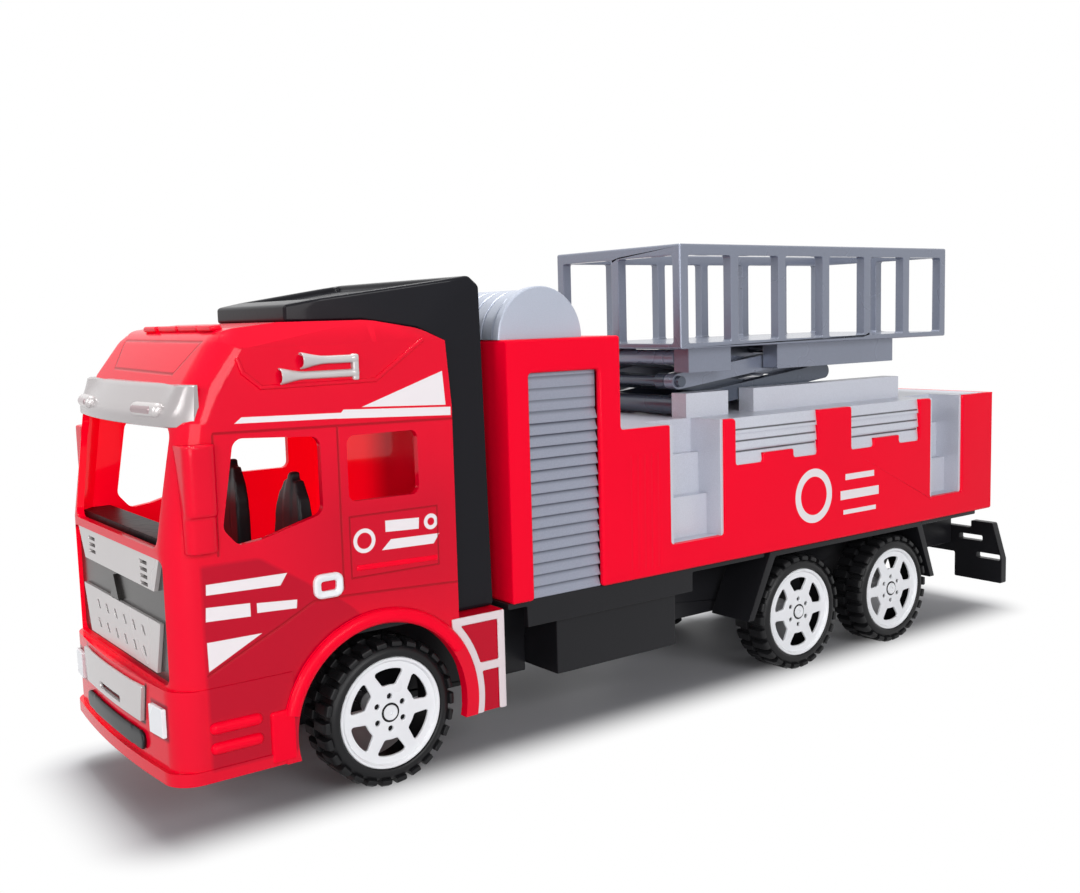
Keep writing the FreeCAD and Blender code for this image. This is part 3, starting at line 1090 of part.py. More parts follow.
def arm(front_z, rear_z, inner_y):
    """Left arm of a lift frame: a flat link with round ends."""
    front = Vector(PIVOT_X, 0, front_z)
    rear = Vector(REAR_PIN_X, 0, rear_z)
    along = (rear - front).normalize()
    across = Vector(-along.z, 0, along.x) * ARM_RADIUS
    corners = [front + across, rear + across, rear - across, front - across]
    y_span = (inner_y, inner_y + ARM_WIDTH)
    web = plate([(c.x, c.z) for c in corners], "xz", y_span)
    return joined([web, bar(front.x, front.z, y_span, ARM_RADIUS), bar(rear.x, rear.z, y_span, ARM_RADIUS)])


def frame_pins(*places):
    """Bores through an arm at the given pins."""
    span = (0, RAIL_OUTER_Y)
    return [bar(x, z, span, PIN_RADIUS + FIT_GAP) for x, z in places]


def outer_frame(front_z):
    """Outer frame of one level: arms up to the rear, a centre rod and a rear rod."""
    rear_z = front_z + LEVEL_RISE
    outer_y = OUTER_ARM_Y + ARM_WIDTH
    left = arm(front_z, rear_z, OUTER_ARM_Y)
    rods = [bar(CENTRE_PIN_X, front_z + LEVEL_RISE / 2, (-outer_y, outer_y), PIN_RADIUS)]
    return left, rear_z, outer_y, rods


def lower_outer_frame():
    """Lower outer frame: thick front tube pinned in the front rails, tails past the rear rod."""
    left, rear_z, outer_y, rods = outer_frame(LOWER_PIN_Z)
    tube = bar(PIVOT_X, LOWER_PIN_Z, (-outer_y, outer_y), LOWER_TUBE_RADIUS)
    stub_y = RAIL_INNER_Y + PIN_REACH
    pins = bar(PIVOT_X, LOWER_PIN_Z, (-stub_y, stub_y), PIN_RADIUS)
    rear_rod = bar(REAR_PIN_X, rear_z, (-outer_y, outer_y), PIN_RADIUS)
    return joined(pair(left) + rods + [tube, pins, rear_rod])


def upper_outer_frame():
    """Upper outer frame: bored at the front, its rear rod slides in the basket brackets."""
    left, rear_z, outer_y, rods = outer_frame(MIDDLE_PIN_Z)
    left = left.cut(frame_pins((PIVOT_X, MIDDLE_PIN_Z)))
    slide_y = RAIL_INNER_Y + PIN_REACH
    rear_rod = bar(REAR_PIN_X, rear_z, (-slide_y, slide_y), PIN_RADIUS)
    return joined(pair(left) + rods + [rear_rod])


def lower_inner_frame():
    """Lower inner frame: its front rod carries the upper level, its rear rod slides in the rails."""
    left = arm(MIDDLE_PIN_Z, LOWER_PIN_Z, INNER_ARM_Y)
    left = left.cut(frame_pins((CENTRE_PIN_X, LOWER_PIN_Z + LEVEL_RISE / 2)))
    head_y = OUTER_ARM_Y + ARM_WIDTH + PIN_HEAD
    slide_y = RAIL_INNER_Y + PIN_REACH
    front_rod = bar(PIVOT_X, MIDDLE_PIN_Z, (-head_y, head_y), PIN_RADIUS)
    rear_rod = bar(REAR_PIN_X, LOWER_PIN_Z, (-slide_y, slide_y), PIN_RADIUS)
    return joined(pair(left) + [front_rod, rear_rod])


def upper_inner_frame():
    """Upper inner frame: tube pinned under the basket's front, bored at centre and rear."""
    left = arm(UPPER_PIN_Z, MIDDLE_PIN_Z, INNER_ARM_Y)
    left = left.cut(frame_pins((CENTRE_PIN_X, MIDDLE_PIN_Z + LEVEL_RISE / 2), (REAR_PIN_X, MIDDLE_PIN_Z)))
    outer_y = OUTER_ARM_Y + ARM_WIDTH
    tube = bar(PIVOT_X, UPPER_PIN_Z, (-outer_y, outer_y), UPPER_TUBE_RADIUS)
    stub_y = RAIL_INNER_Y + PIN_REACH
    pins = bar(PIVOT_X, UPPER_PIN_Z, (-stub_y, stub_y), PIN_RADIUS)
    return joined(pair(left) + [tube, pins])


def basket():
    """Work basket: floor, four corner posts, side posts and a top rail in one moulding."""
    x_span = (BASKET_FRONT_X, BASKET_REAR_X)
    y_span = (-BASKET_HALF_WIDTH, BASKET_HALF_WIDTH)
    inside_x = (BASKET_FRONT_X - BASKET_RAIL_WIDTH, BASKET_REAR_X + BASKET_RAIL_WIDTH)
    inside_y = (-BASKET_HALF_WIDTH + BASKET_RAIL_WIDTH, BASKET_HALF_WIDTH - BASKET_RAIL_WIDTH)
    floor = block(x_span, y_span, (BASKET_BASE_Z, BASKET_BASE_Z + BASKET_FLOOR))
    rail_z = (BASKET_TOP_Z - BASKET_RAIL_HEIGHT, BASKET_TOP_Z)
    rail = block(x_span, y_span, rail_z).cut(block(inside_x, inside_y, rail_z))
    post_z = (BASKET_BASE_Z, BASKET_TOP_Z)
    side_y = (BASKET_HALF_WIDTH - BASKET_POST, BASKET_HALF_WIDTH)
    pitch = (BASKET_FRONT_X - BASKET_POST - BASKET_REAR_X) / (BASKET_SIDE_POSTS - 1)
    posts = []
    for i in range(BASKET_SIDE_POSTS):
        rear_x = BASKET_REAR_X + i * pitch
        posts += pair(block((rear_x, rear_x + BASKET_POST), side_y, post_z))
    for rear_x in (BASKET_REAR_X, BASKET_FRONT_X - BASKET_POST):
        posts.append(block((rear_x, rear_x + BASKET_POST), (-BASKET_POST / 2, BASKET_POST / 2), post_z))
    return joined([floor, rail] + posts)


def basket_lug():
    """Left front lug under the basket, bored for the upper pin."""
    lug = block((LUG_FRONT_X, LUG_REAR_X), (RAIL_INNER_Y, RAIL_OUTER_Y), (LUG_BASE_Z, BASKET_BASE_Z))
    return lug.cut(pin_bore(UPPER_PIN_Z))


def basket_bracket():
    """Left rear bracket under the basket, grooved for the sliding rod."""
    bracket = block((BRACKET_FRONT_X, BRACKET_REAR_X), (RAIL_INNER_Y, RAIL_OUTER_Y), (BRACKET_BASE_Z, BASKET_BASE_Z))
    return bracket.cut(track_slot(UPPER_PIN_Z))


def wheel_set(name, x, outer_y):
    """Named pieces of one axle with its two wheels."""
    pieces = {f"{name}_axle": axle_shaft(x, outer_y)}
    left_rim, left_tyre = rim(x, outer_y), tyre(x, outer_y)
    pieces[f"{name}_rim_left"], pieces[f"{name}_rim_right"] = pair(left_rim)
    pieces[f"{name}_tyre_left"], pieces[f"{name}_tyre_right"] = pair(left_tyre)
    return pieces


def build():
    """Every piece by its name, still in the drawing frame."""
    pieces = {
        "cab_shell": cab_shell(), "cab_interior": cab_interior(), "dashboard": dashboard(),
        "grille_surround": grille_surround(), "upper_grille": upper_grille(), "lower_grille": lower_grille(),
        "number_panel": number_panel(), "fog_bar": fog_bar(), "visor": visor(),
        "wind_deflector": wind_deflector(), "body_shell": body_shell(), "deck_insert": deck_insert(),
        "drum": drum(), "chassis_frame": chassis_frame(), "side_box": side_box(), "rear_bumper": rear_bumper(),
        "lift_lower_outer": lower_outer_frame(), "lift_lower_inner": lower_inner_frame(),
        "lift_upper_outer": upper_outer_frame(), "lift_upper_inner": upper_inner_frame(),
        "basket_frame": basket(),
    }
    sided = {
        "headlamp": headlamp(), "mirror": mirror_housing(), "air_horns": air_horns(), "step_trim": step_trim(),
        "roller_shutter": roller_shutter(), "mudguard": mudguard(),
        "basket_lug": basket_lug(), "basket_bracket": basket_bracket(),
    }
    for name, left in sided.items():
        pieces[f"{name}_left"], pieces[f"{name}_right"] = pair(left)
    front_y = BODY_HALF_WIDTH - FRONT_TRACK_INSET
    rear_y = BODY_HALF_WIDTH - REAR_TRACK_INSET
    for name, x, outer_y in (
        ("front", FRONT_AXLE_X, front_y), ("middle", MIDDLE_AXLE_X, rear_y), ("rear", REAR_AXLE_X, rear_y),
    ):
        pieces.update(wheel_set(name, x, outer_y))
    return pieces


os.makedirs("parts", exist_ok=True)
for piece_name, piece in build().items():
    placed = piece.copy()
    placed.translate(Vector(-ORIGIN_X, 0, 0))
    placed.exportStep(f"parts/{piece_name}.step")
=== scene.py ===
import bpy
import bmesh
import math
from mathutils import Matrix, Vector
from mathutils.bvhtree import BVHTree


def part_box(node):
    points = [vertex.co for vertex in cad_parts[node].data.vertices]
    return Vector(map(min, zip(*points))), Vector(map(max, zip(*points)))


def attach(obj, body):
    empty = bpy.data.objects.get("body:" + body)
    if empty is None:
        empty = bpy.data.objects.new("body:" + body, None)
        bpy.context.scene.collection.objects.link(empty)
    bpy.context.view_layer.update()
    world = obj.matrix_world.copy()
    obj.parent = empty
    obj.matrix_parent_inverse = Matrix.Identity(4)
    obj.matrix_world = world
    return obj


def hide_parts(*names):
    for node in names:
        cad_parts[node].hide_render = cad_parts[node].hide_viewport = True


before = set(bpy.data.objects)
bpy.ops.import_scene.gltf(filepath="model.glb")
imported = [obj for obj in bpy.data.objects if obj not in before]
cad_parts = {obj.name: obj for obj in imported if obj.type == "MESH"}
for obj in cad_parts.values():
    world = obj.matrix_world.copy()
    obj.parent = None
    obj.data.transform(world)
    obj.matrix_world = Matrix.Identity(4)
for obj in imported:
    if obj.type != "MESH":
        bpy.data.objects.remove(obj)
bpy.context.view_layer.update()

# The toy stands on a plain pale floor in front of white.
# The camera looks down a little on the front left corner, as in the photograph.
# Places along the toy are counted from its front axle, in millimetres.
MM = 0.001
axle_low, axle_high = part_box("front_axle")
AXLE_X = (axle_low[0] + axle_high[0]) / 2
FLOOR_REACH = 4
SHADOW_HALF = (0.158, 0.026, 0)
SHADOW_FADE = 0.024
WHITE = (1, 1, 1, 1)


def spot(x, y, z):
    return Vector((AXLE_X + x * MM, y * MM, z * MM))


def linked(name, data):
    thing = bpy.data.objects.new(name, data)
    bpy.context.collection.objects.link(thing)
    return thing


def added(tree, kind, inputs=None, **settings):
    """New node, whose inputs get values or links from other nodes."""
    node = tree.nodes.new(kind)
    for name, value in settings.items():
        setattr(node, name, value)
    for key, value in (inputs or {}).items():
        if isinstance(value, bpy.types.NodeSocket):
            tree.links.new(value, node.inputs[key])
        else:
            node.inputs[key].default_value = value
    return node


def reckoned(tree, operation, *values):
    """Result of a sum on numbers."""
    return added(tree, "ShaderNodeMath", dict(enumerate(values)), operation=operation).outputs["Value"]


def vector_sum(tree, operation, *values):
    """Result of a sum on places."""
    node = added(tree, "ShaderNodeVectorMath", dict(enumerate(values)), operation=operation)
    return node.outputs["Value" if operation in ("DOT_PRODUCT", "LENGTH", "DISTANCE") else "Vector"]


def scaled(tree, vector, factor):
    inputs = {0: vector, "Scale": factor}
    return added(tree, "ShaderNodeVectorMath", inputs, operation="SCALE").outputs["Vector"]


def graded(tree, value, low, high, bottom=0, top=1, kind="LINEAR"):
    """From bottom at low to top at high, and held outside them."""
    ends = {"Value": value, "From Min": low, "From Max": high, "To Min": bottom, "To Max": top}
    return added(tree, "ShaderNodeMapRange", ends, interpolation_type=kind).outputs["Result"]


def noise(tree, place, scale, detail):
    return added(tree, "ShaderNodeTexNoise", {"Vector": place, "Scale": scale, "Detail": detail}).outputs["Fac"]


def place_on(tree):
    return added(tree, "ShaderNodeTexCoord").outputs["Object"]


def aimed_camera():
    data = bpy.data.cameras.new("camera")
    data.lens = 39.32
    data.sensor_width = 36
    data.clip_start = 0.01
    camera = linked("camera", data)
    right = Vector((-0.8021, 0.5965, -0.0269)).normalized()
    back = Vector((0.5908, 0.7993, 0.1098)).normalized()
    up = back.cross(right).normalized()
    right = up.cross(back).normalized()
    turn = Matrix((right, up, back)).transposed().to_4x4()
    camera.matrix_world = Matrix.Translation(spot(139.91, 291.8, 117.44)) @ turn
    bpy.context.scene.camera = camera


def soft_lamp(name, place, target, size, power):
    data = bpy.data.lights.new(name, "AREA")
    data.shape = "RECTANGLE"
    data.size, data.size_y = size
    data.energy = power
    lamp = linked(name, data)
    lamp.location = place
    lamp.rotation_euler = (Vector(target) - Vector(place)).to_track_quat("-Z", "Y").to_euler()


def backdrop_ray(tree):
    """1 for the rays that should see plain white: camera, glossy and transmission."""
    ray = added(tree, "ShaderNodeLightPath").outputs
    seen = reckoned(tree, "MAXIMUM", ray["Is Camera Ray"], ray["Is Glossy Ray"])
    return reckoned(tree, "MAXIMUM", seen, ray["Is Transmission Ray"])


def mixed_shaders(tree, share, first, second):
    return added(tree, "ShaderNodeMixShader", {0: share, 1: first, 2: second}).outputs["Shader"]


def pale_floor():
    """Floor that keeps the toy's shadow and fades to white round it."""
    mesh = bpy.data.meshes.new("floor")
    corners = [(u * FLOOR_REACH, v * FLOOR_REACH, 0) for u, v in ((-1, -1), (1, -1), (1, 1), (-1, 1))]
    mesh.from_pydata(corners, [], [(0, 1, 2, 3)])
    material = bpy.data.materials.new("pale_floor")
    material.use_nodes = True
    tree = material.node_tree
    shader = tree.nodes["Principled BSDF"]
    shader.inputs["Base Color"].default_value = (0.34, 0.34, 0.36, 1)
    place = place_on(tree)
    rough = graded(tree, noise(tree, place, 9, 2), 0, 1, 0.50, 0.60)
    tree.links.new(rough, shader.inputs["Roughness"])
    outside = vector_sum(tree, "SUBTRACT", vector_sum(tree, "ABSOLUTE", place), SHADOW_HALF)
    away = vector_sum(tree, "LENGTH", vector_sum(tree, "MAXIMUM", outside))
    fade = graded(tree, away, 0, SHADOW_FADE, kind="SMOOTHSTEP")
    white = added(tree, "ShaderNodeEmission", {"Color": WHITE, "Strength": 1})
    share = reckoned(tree, "MULTIPLY", fade, backdrop_ray(tree))
    mix = mixed_shaders(tree, share, shader.outputs["BSDF"], white.outputs["Emission"])
    tree.links.new(mix, tree.nodes["Material Output"].inputs["Surface"])
    mesh.materials.append(material)
    linked("floor", mesh)


def white_world():
    world = bpy.data.worlds.new("studio")
    bpy.context.scene.world = world
    world.use_nodes = True
    tree = world.node_tree
    tree.nodes.clear()
    lit = added(tree, "ShaderNodeBackground", {"Color": (0.93, 0.96, 1, 1), "Strength": 0.30})
    seen = added(tree, "ShaderNodeBackground", {"Color": WHITE, "Strength": 1})
    mix = mixed_shaders(tree, backdrop_ray(tree), lit.outputs["Background"], seen.outputs["Background"])
    added(tree, "ShaderNodeOutputWorld", {"Surface": mix})


aimed_camera()
pale_floor()
white_world()
soft_lamp("key", (0.02, -0.22, 0.90), (0, 0, 0.05), (0.34, 0.26), 7.2)
soft_lamp("side", (0.10, 0.95, 0.50), (0, 0, 0.05), (0.55, 0.30), 4.2)
soft_lamp("front", (1.00, 0.12, 0.45), (0.05, 0, 0.07), (0.40, 0.30), 3.4)
soft_lamp("fill", (0.55, 0.75, 0.17), (0.05, 0, 0.06), (0.50, 0.35), 2.6)
bpy.context.scene.view_settings.view_transform = "Standard"

# Chassis: one black moulding with a hollow spine that carries the three axles.
# The equipment box hangs under it, each rear mudguard is a flat-topped arch, and the
# slotted bumper closes the back. All are satin black plastic with a faint moulding grain.
FLAKE_SCALE = 3200
COAT_ROUGHNESS = 0.05


def plastic_of(name, color, roughness, grain=(900, 0.00002), specular=0.5, metallic=0, flake=0, coat=0):
    """Plastic whose tone and gloss drift a little, with a grain of (scale, depth)."""
    material = bpy.data.materials.new(name)
    material.use_nodes = True
    tree = material.node_tree
    shader = tree.nodes["Principled BSDF"].inputs
    shader["Metallic"].default_value = metallic
    shader["Specular IOR Level"].default_value = specular
    shader["Coat Weight"].default_value = coat
    shader["Coat Roughness"].default_value = COAT_ROUGHNESS
    place = place_on(tree)
    cloud = noise(tree, place, 28, 3)
    tree.links.new(graded(tree, cloud, 0, 1, roughness * 0.8, roughness * 1.2), shader["Roughness"])
    low, high = [c * 0.93 for c in color], [min(1, c * 1.06) for c in color]
    tone = blend(tree, cloud, (*low, 1), (*high, 1))
    if flake:
        spark = graded(tree, noise(tree, place, FLAKE_SCALE, 2), 0.35, 0.65, 1 - flake, 1 + flake)
        tone = scaled(tree, tone, spark)
    tree.links.new(tone, shader["Base Color"])
    inputs = {"Strength": 0.6, "Distance": grain[1], "Height": noise(tree, place, grain[0], 4)}
    tree.links.new(added(tree, "ShaderNodeBump", inputs).outputs["Normal"], shader["Normal"])
    return material


def blend(tree, share, first, second):
    inputs = {"Factor": share, "A": first, "B": second}
    return added(tree, "ShaderNodeMix", inputs, data_type="RGBA").outputs["Result"]


def settled(piece):
    """Put the result of a piece's modifiers into its mesh."""
    bpy.context.view_layer.update()
    depsgraph = bpy.context.evaluated_depsgraph_get()
    mesh = bpy.data.meshes.new_from_object(piece.evaluated_get(depsgraph))
    piece.modifiers.clear()
    piece.data = mesh
    return mesh


def welded(bm, reach=0.001):
    bmesh.ops.remove_doubles(bm, verts=bm.verts, dist=reach * MM)


def smooth_faces(piece, angle=35):
    """Smooth shading that keeps large faces flat and stops at sharper edges."""
    mesh = piece.data
    mesh.shade_smooth()
    limit = math.radians(angle)
    bm = bmesh.new()
    bm.from_mesh(mesh)
    for edge in bm.edges:
        edge.smooth = len(edge.link_faces) == 2 and edge.calc_face_angle(0) < limit
    bm.to_mesh(mesh)
    bm.free()
    even = piece.modifiers.new("even", "WEIGHTED_NORMAL")
    even.mode = "FACE_AREA"
    even.weight = 60
    even.keep_sharp = True
    settled(piece)


def rounded_edges(piece, width, segments=2, angle=30):
    bevel = piece.modifiers.new("edge", "BEVEL")
    bevel.width = width
    bevel.segments = segments
    bevel.limit_method = "ANGLE"
    bevel.angle_limit = math.radians(angle)
    bevel.use_clamp_overlap = True
    bevel.miter_outer = "MITER_ARC"
    settled(piece)
    smooth_faces(piece)


def new_piece(name, bm, smooth=None):
    """Piece from a loose form, smooth up to an angle if one is given."""
    mesh = bpy.data.meshes.new(name)
    bm.to_mesh(mesh)
    bm.free()
    piece = linked(name, mesh)
    if smooth:
        smooth_faces(piece, smooth)
    return piece


def fixed(piece, material, slot, body, *nodes):
    """Give a piece its material and body, and hide the nodes it stands for; the slot is not used."""
    piece.data.materials.clear()
    piece.data.materials.append(material)
    piece.data.polygons.foreach_set("material_index", [0] * len(piece.data.polygons))
    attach(piece, body)
    if nodes:
        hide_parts(*nodes)
    return piece


def moulding(node, material, slot, edge, segments=2, body="vehicle", reshaped=None):
    """A node's own form with its edges rounded as a mould leaves them."""
    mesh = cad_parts[node].data.copy()
    bm = bmesh.new()
    bm.from_mesh(mesh)
    welded(bm, 0.01)
    bmesh.ops.dissolve_limit(bm, angle_limit=math.radians(1), verts=bm.verts, edges=bm.edges)
    bmesh.ops.triangulate(bm, faces=bm.faces[:], ngon_method="BEAUTY")
    if reshaped:
        reshaped(bm)
    bm.to_mesh(mesh)
    bm.free()
    piece = linked(f"{node}_moulding", mesh)
    rounded_edges(piece, edge * MM, segments)
    return fixed(piece, material, slot, body, node)


black_plastic = plastic_of("black_plastic", (0.010, 0.010, 0.012), 0.34, specular=0.20)
for node, edge in (("chassis_frame", 0.4), ("side_box", 0.6), ("rear_bumper", 0.5), ("mudguard_left", 0.4),
                   ("mudguard_right", 0.4)):
    moulding(node, black_plastic, "black_plastic", edge)

# Wheels: a white rim with six spokes, pressed into a hard black tyre with chunky shoulder lugs.
# Each pair turns on a plain steel wire axle that runs through the chassis.
SIDES = (("left", 1), ("right", -1))
RIM_R = 14.35
RIM_FACE_Y = 4.55
SPOKES = 6
SPOKE_HALF = 1.5
WINDOW_CORNER = 0.9
NUT_RING_R = 4.2
NUT_HOLE_R = 0.95
HUB_R = 6.3
BOSS_R = 1.95
TYRE_R = 19
CARCASS_R = 17.5
LUGS = 26
LUG_SHARE = 0.31
LUG_TOP_SHARE = 0.86
LIP = [(RIM_R, 4.2), (RIM_R, 5.5), (14.1, 5.8), (13.7, 5.85), (13.4, 5.7), (13.1, 5.1), (12.9, 4.6),
       (12.9, 3.8)]
BOSS = [(BOSS_R, 4.6), (BOSS_R, 5.3), (1.8, 5.5), (1, 5.5), (0.6, 5.4), (0.6, 4.6)]
TUBE = [(2.9, -5.4), (2.9, 3.6), (1.6, 3.6), (1.6, -5.4)]
NUT_HOLE_SHADE = [(HUB_R, 3.6), (HUB_R, 3.95), (3, 3.95), (3, 3.6)]
BOSS_GROOVE_SHADE = [(2.5, 4.7), (2.5, 5.08), (BOSS_R, 5.08), (BOSS_R, 4.7)]
CARCASS_EDGE = [(RIM_R, 5.6), (14.6, 6), (15.2, 6.2), (16, 6), (16.9, 5.5), (CARCASS_R, 4.6)]


def spun(profile, steps, closed=True):
    """Form from a profile of (radius, y) in millimetres, spun about the y axis."""
    bm = bmesh.new()
    verts = [bm.verts.new((radius * MM, y * MM, 0)) for radius, y in profile]
    edges = [bm.edges.new(pair) for pair in zip(verts, verts[1:] + verts[:1] if closed else verts[1:])]
    bmesh.ops.spin(bm, geom=verts + edges, cent=(0, 0, 0), axis=(0, 1, 0), angle=2 * math.pi, steps=steps,
                   use_merge=True, use_duplicate=False)
    welded(bm)
    bmesh.ops.recalc_face_normals(bm, faces=bm.faces)
    return bm


def together(forms):
    """One form from several loose ones."""
    whole = bmesh.new()
    for form in forms:
        scratch = bpy.data.meshes.new("form")
        form.to_mesh(scratch)
        form.free()
        whole.from_mesh(scratch)
        bpy.data.meshes.remove(scratch)
    return whole


def skinned(bm, rows, around=True, capped=True):
    """Faces between rows of points, and over the first and the last row."""
    count = len(rows[0])
    for first, second in zip(rows, rows[1:]):
        for i in range(count if around else count - 1):
            after = (i + 1) % count
            bm.faces.new((first[i], first[after], second[after], second[i]))
    if capped:
        bm.faces.new(rows[0])
        bm.faces.new(rows[-1])
    bmesh.ops.recalc_face_normals(bm, faces=bm.faces)


def on_circle(radius, angle, centre=(0, 0)):
    return centre[0] + radius * math.cos(angle), centre[1] + radius * math.sin(angle)


def rim_window(middle):
    """Outline of the window between two spokes, with its corners rounded."""
    window = []
    for radius, turn, steps, inset in ((11.5, 1, 12, 0.9), (6.9, -1, 6, -0.6)):
        half = math.pi / SPOKES - math.asin(SPOKE_HALF / radius)
        soft = WINDOW_CORNER / radius
        first, last = middle - turn * half, middle + turn * half
        near, far = first + turn * soft, last - turn * soft
        bent, slip = radius - inset * 0.27, turn * soft * 0.3
        window += [on_circle(radius - inset, first), on_circle(bent, first + slip)]
        window += [on_circle(radius, near + (far - near) * i / steps) for i in range(steps + 1)]
        window += [on_circle(bent, last - slip), on_circle(radius - inset, last)]
    return window


def rim_face():
    """Flat disc with six windows between the spokes and six nut holes."""
    curve = bpy.data.curves.new("rim_face", "CURVE")
    curve.dimensions = "2D"
    curve.fill_mode = "BOTH"
    curve.extrude = 0.25 * MM
    curve.bevel_depth = 0.20 * MM
    curve.bevel_resolution = 2
    outlines = [[on_circle(RIM_R - 0.25, 2 * math.pi * k / 96) for k in range(96)]]
    for k in range(SPOKES):
        middle = (k + 0.5) * 2 * math.pi / SPOKES
        outlines.append(rim_window(middle))
        nut = on_circle(NUT_RING_R, middle)
        outlines.append([on_circle(NUT_HOLE_R, 2 * math.pi * i / 16, nut) for i in range(16)])
    for outline in outlines:
        spline = curve.splines.new("POLY")
        spline.points.add(len(outline) - 1)
        for point, (u, v) in zip(spline.points, outline):
            point.co = (u * MM, v * MM, 0, 1)
        spline.use_cyclic_u = True
    flat = linked("rim_face", curve)
    bpy.context.view_layer.update()
    mesh = bpy.data.meshes.new_from_object(flat.evaluated_get(bpy.context.evaluated_depsgraph_get()))
    bpy.data.objects.remove(flat)
    bm = bmesh.new()
    bm.from_mesh(mesh)
    welded(bm)
    bm.transform(Matrix.Translation((0, RIM_FACE_Y * MM, 0)) @ Matrix.Rotation(math.radians(90), 4, "X"))
    return bm


def wheel_part(name, forms, centre, facing):
    """Part of a wheel at its place, turned round for the right side."""
    bm = together(forms)
    if facing < 0:
        bm.transform(Matrix.Rotation(math.pi, 4, "Z"))
    bm.transform(Matrix.Translation(centre))
    return new_piece(name, bm, 40)


def lug_block():
    """One tread lug, across half the tread and down over the shoulder."""
    half = 2 * math.pi * TYRE_R / LUGS * LUG_SHARE
    section = [(CARCASS_R - 0.4, 0.3), (TYRE_R - 0.05, 0.3), (TYRE_R - 0.05, 4.9), (TYRE_R - 0.7, 6.05),
               (17.2, 6.2), (16.9, 5.2), (CARCASS_R - 0.9, 4.6)]
    bm = bmesh.new()
    widths = [half * (LUG_TOP_SHARE if r > TYRE_R - 0.3 else 1) for r, y in section]
    skinned(bm, [[bm.verts.new((r * MM, y * MM, side * width * MM)) for (r, y), width in zip(section, widths)]
                 for side in (-1, 1)])
    piece = new_piece("lug_block", bm)
    rounded_edges(piece, 0.28 * MM, 2)
    return piece


def repeat_tree(name, unit, named_inputs, placing):
    """Tree that adds copies of a unit to a piece, and the identifiers of its inputs."""
    tree = bpy.data.node_groups.new(name, "GeometryNodeTree")
    sockets = [tree.interface.new_socket(label, in_out="INPUT", socket_type=f"NodeSocket{kind}")
               for label, kind in [("Geometry", "Geometry"), *named_inputs, ("Finish", "Material")]]
    tree.interface.new_socket("Geometry", in_out="OUTPUT", socket_type="NodeSocketGeometry")
    given = added(tree, "NodeGroupInput").outputs
    source = added(tree, "GeometryNodeObjectInfo", {"Object": unit}).outputs["Geometry"]
    join = added(tree, "GeometryNodeJoinGeometry")
    for copies in placing(tree, given, source):
        tree.links.new(copies, join.inputs["Geometry"])
    tree.links.new(given["Geometry"], join.inputs["Geometry"])
    real = added(tree, "GeometryNodeRealizeInstances", {"Geometry": join.outputs["Geometry"]})
    finish = {"Geometry": real.outputs["Geometry"], "Material": given["Finish"]}
    coated = added(tree, "GeometryNodeSetMaterial", finish)
    added(tree, "NodeGroupOutput", {"Geometry": coated.outputs["Geometry"]})
    return tree, [socket.identifier for socket in sockets[1:]]


def tread_rows(tree, given, block):
    """Lugs round the tyre in two staggered rows, the second one turned over."""
    rows = []
    for row in (0, 1):
        line = added(tree, "GeometryNodeMeshLine", {"Count": given["Lug count"], "Offset": (0, 0, 0)})
        index = added(tree, "GeometryNodeInputIndex").outputs["Index"]
        share = reckoned(tree, "DIVIDE", index, given["Lug count"])
        angle = reckoned(tree, "MULTIPLY_ADD", share, 2 * math.pi, row * math.pi / LUGS)
        turn = added(tree, "ShaderNodeCombineXYZ", {"X": row * math.pi, "Y": angle}).outputs["Vector"]
        placed = {"Points": line.outputs["Mesh"], "Instance": block, "Rotation": turn}
        rows.append(added(tree, "GeometryNodeInstanceOnPoints", placed).outputs["Instances"])
    return rows


def grown(piece, repeat, values):
    """Run a repeat tree on a piece and keep its result as the piece's mesh."""
    tree, identifiers = repeat
    grow = piece.modifiers.new("repeat", "NODES")
    grow.node_group = tree
    for identifier, value in zip(identifiers, values):
        grow[identifier] = value
    return settled(piece)


tyre_plastic = plastic_of("tyre_plastic", (0.009, 0.009, 0.010), 0.38, (1400, 0.00004), specular=0.22)
white_plastic = plastic_of("white_plastic", (0.80, 0.81, 0.83), 0.28)
axle_steel = plastic_of("axle_steel", (0.5, 0.5, 0.52), 0.28, (2200, 0.00001), metallic=1)
lug = lug_block()
tread = repeat_tree("tread", lug, [("Lug count", "Int")], tread_rows)
carcass = [(r, -y) for r, y in CARCASS_EDGE] + [(CARCASS_R, 0)] + CARCASS_EDGE[::-1]
for row in ("front", "middle", "rear"):
    wheels = f"{row}_wheels"
    for side, facing in SIDES:
        low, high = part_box(f"{row}_tyre_{side}")
        centre = Vector([(a + b) / 2 for a, b in zip(low, high)])
        tyre = new_piece(f"{row}_tyre_{side}_treaded", spun(carcass, 96), 40)
        grown(tyre, tread, (LUGS, tyre_plastic)).transform(Matrix.Translation(centre))
        fixed(tyre, tyre_plastic, "tyre_plastic", wheels, f"{row}_tyre_{side}")
        forms = [rim_face(), spun(LIP, 96), spun(TUBE, 32), spun(BOSS, 40)]
        rim = wheel_part(f"{row}_rim_{side}_spoked", forms, centre, facing)
        fixed(rim, white_plastic, "white_plastic", wheels, f"{row}_rim_{side}")
        # Painted shade: a thin black disc behind the nut holes and a black ring round the boss stand for the
        # shade in them.
        forms = [spun(NUT_HOLE_SHADE, 40), spun(BOSS_GROOVE_SHADE, 40)]
        shade = wheel_part(f"{row}_hub_shade_{side}", forms, centre, facing)
        fixed(shade, tyre_plastic, "tyre_plastic", wheels)
    moulding(f"{row}_axle", axle_steel, "axle_steel", 0.15, body=wheels)
bpy.data.objects.remove(lug)

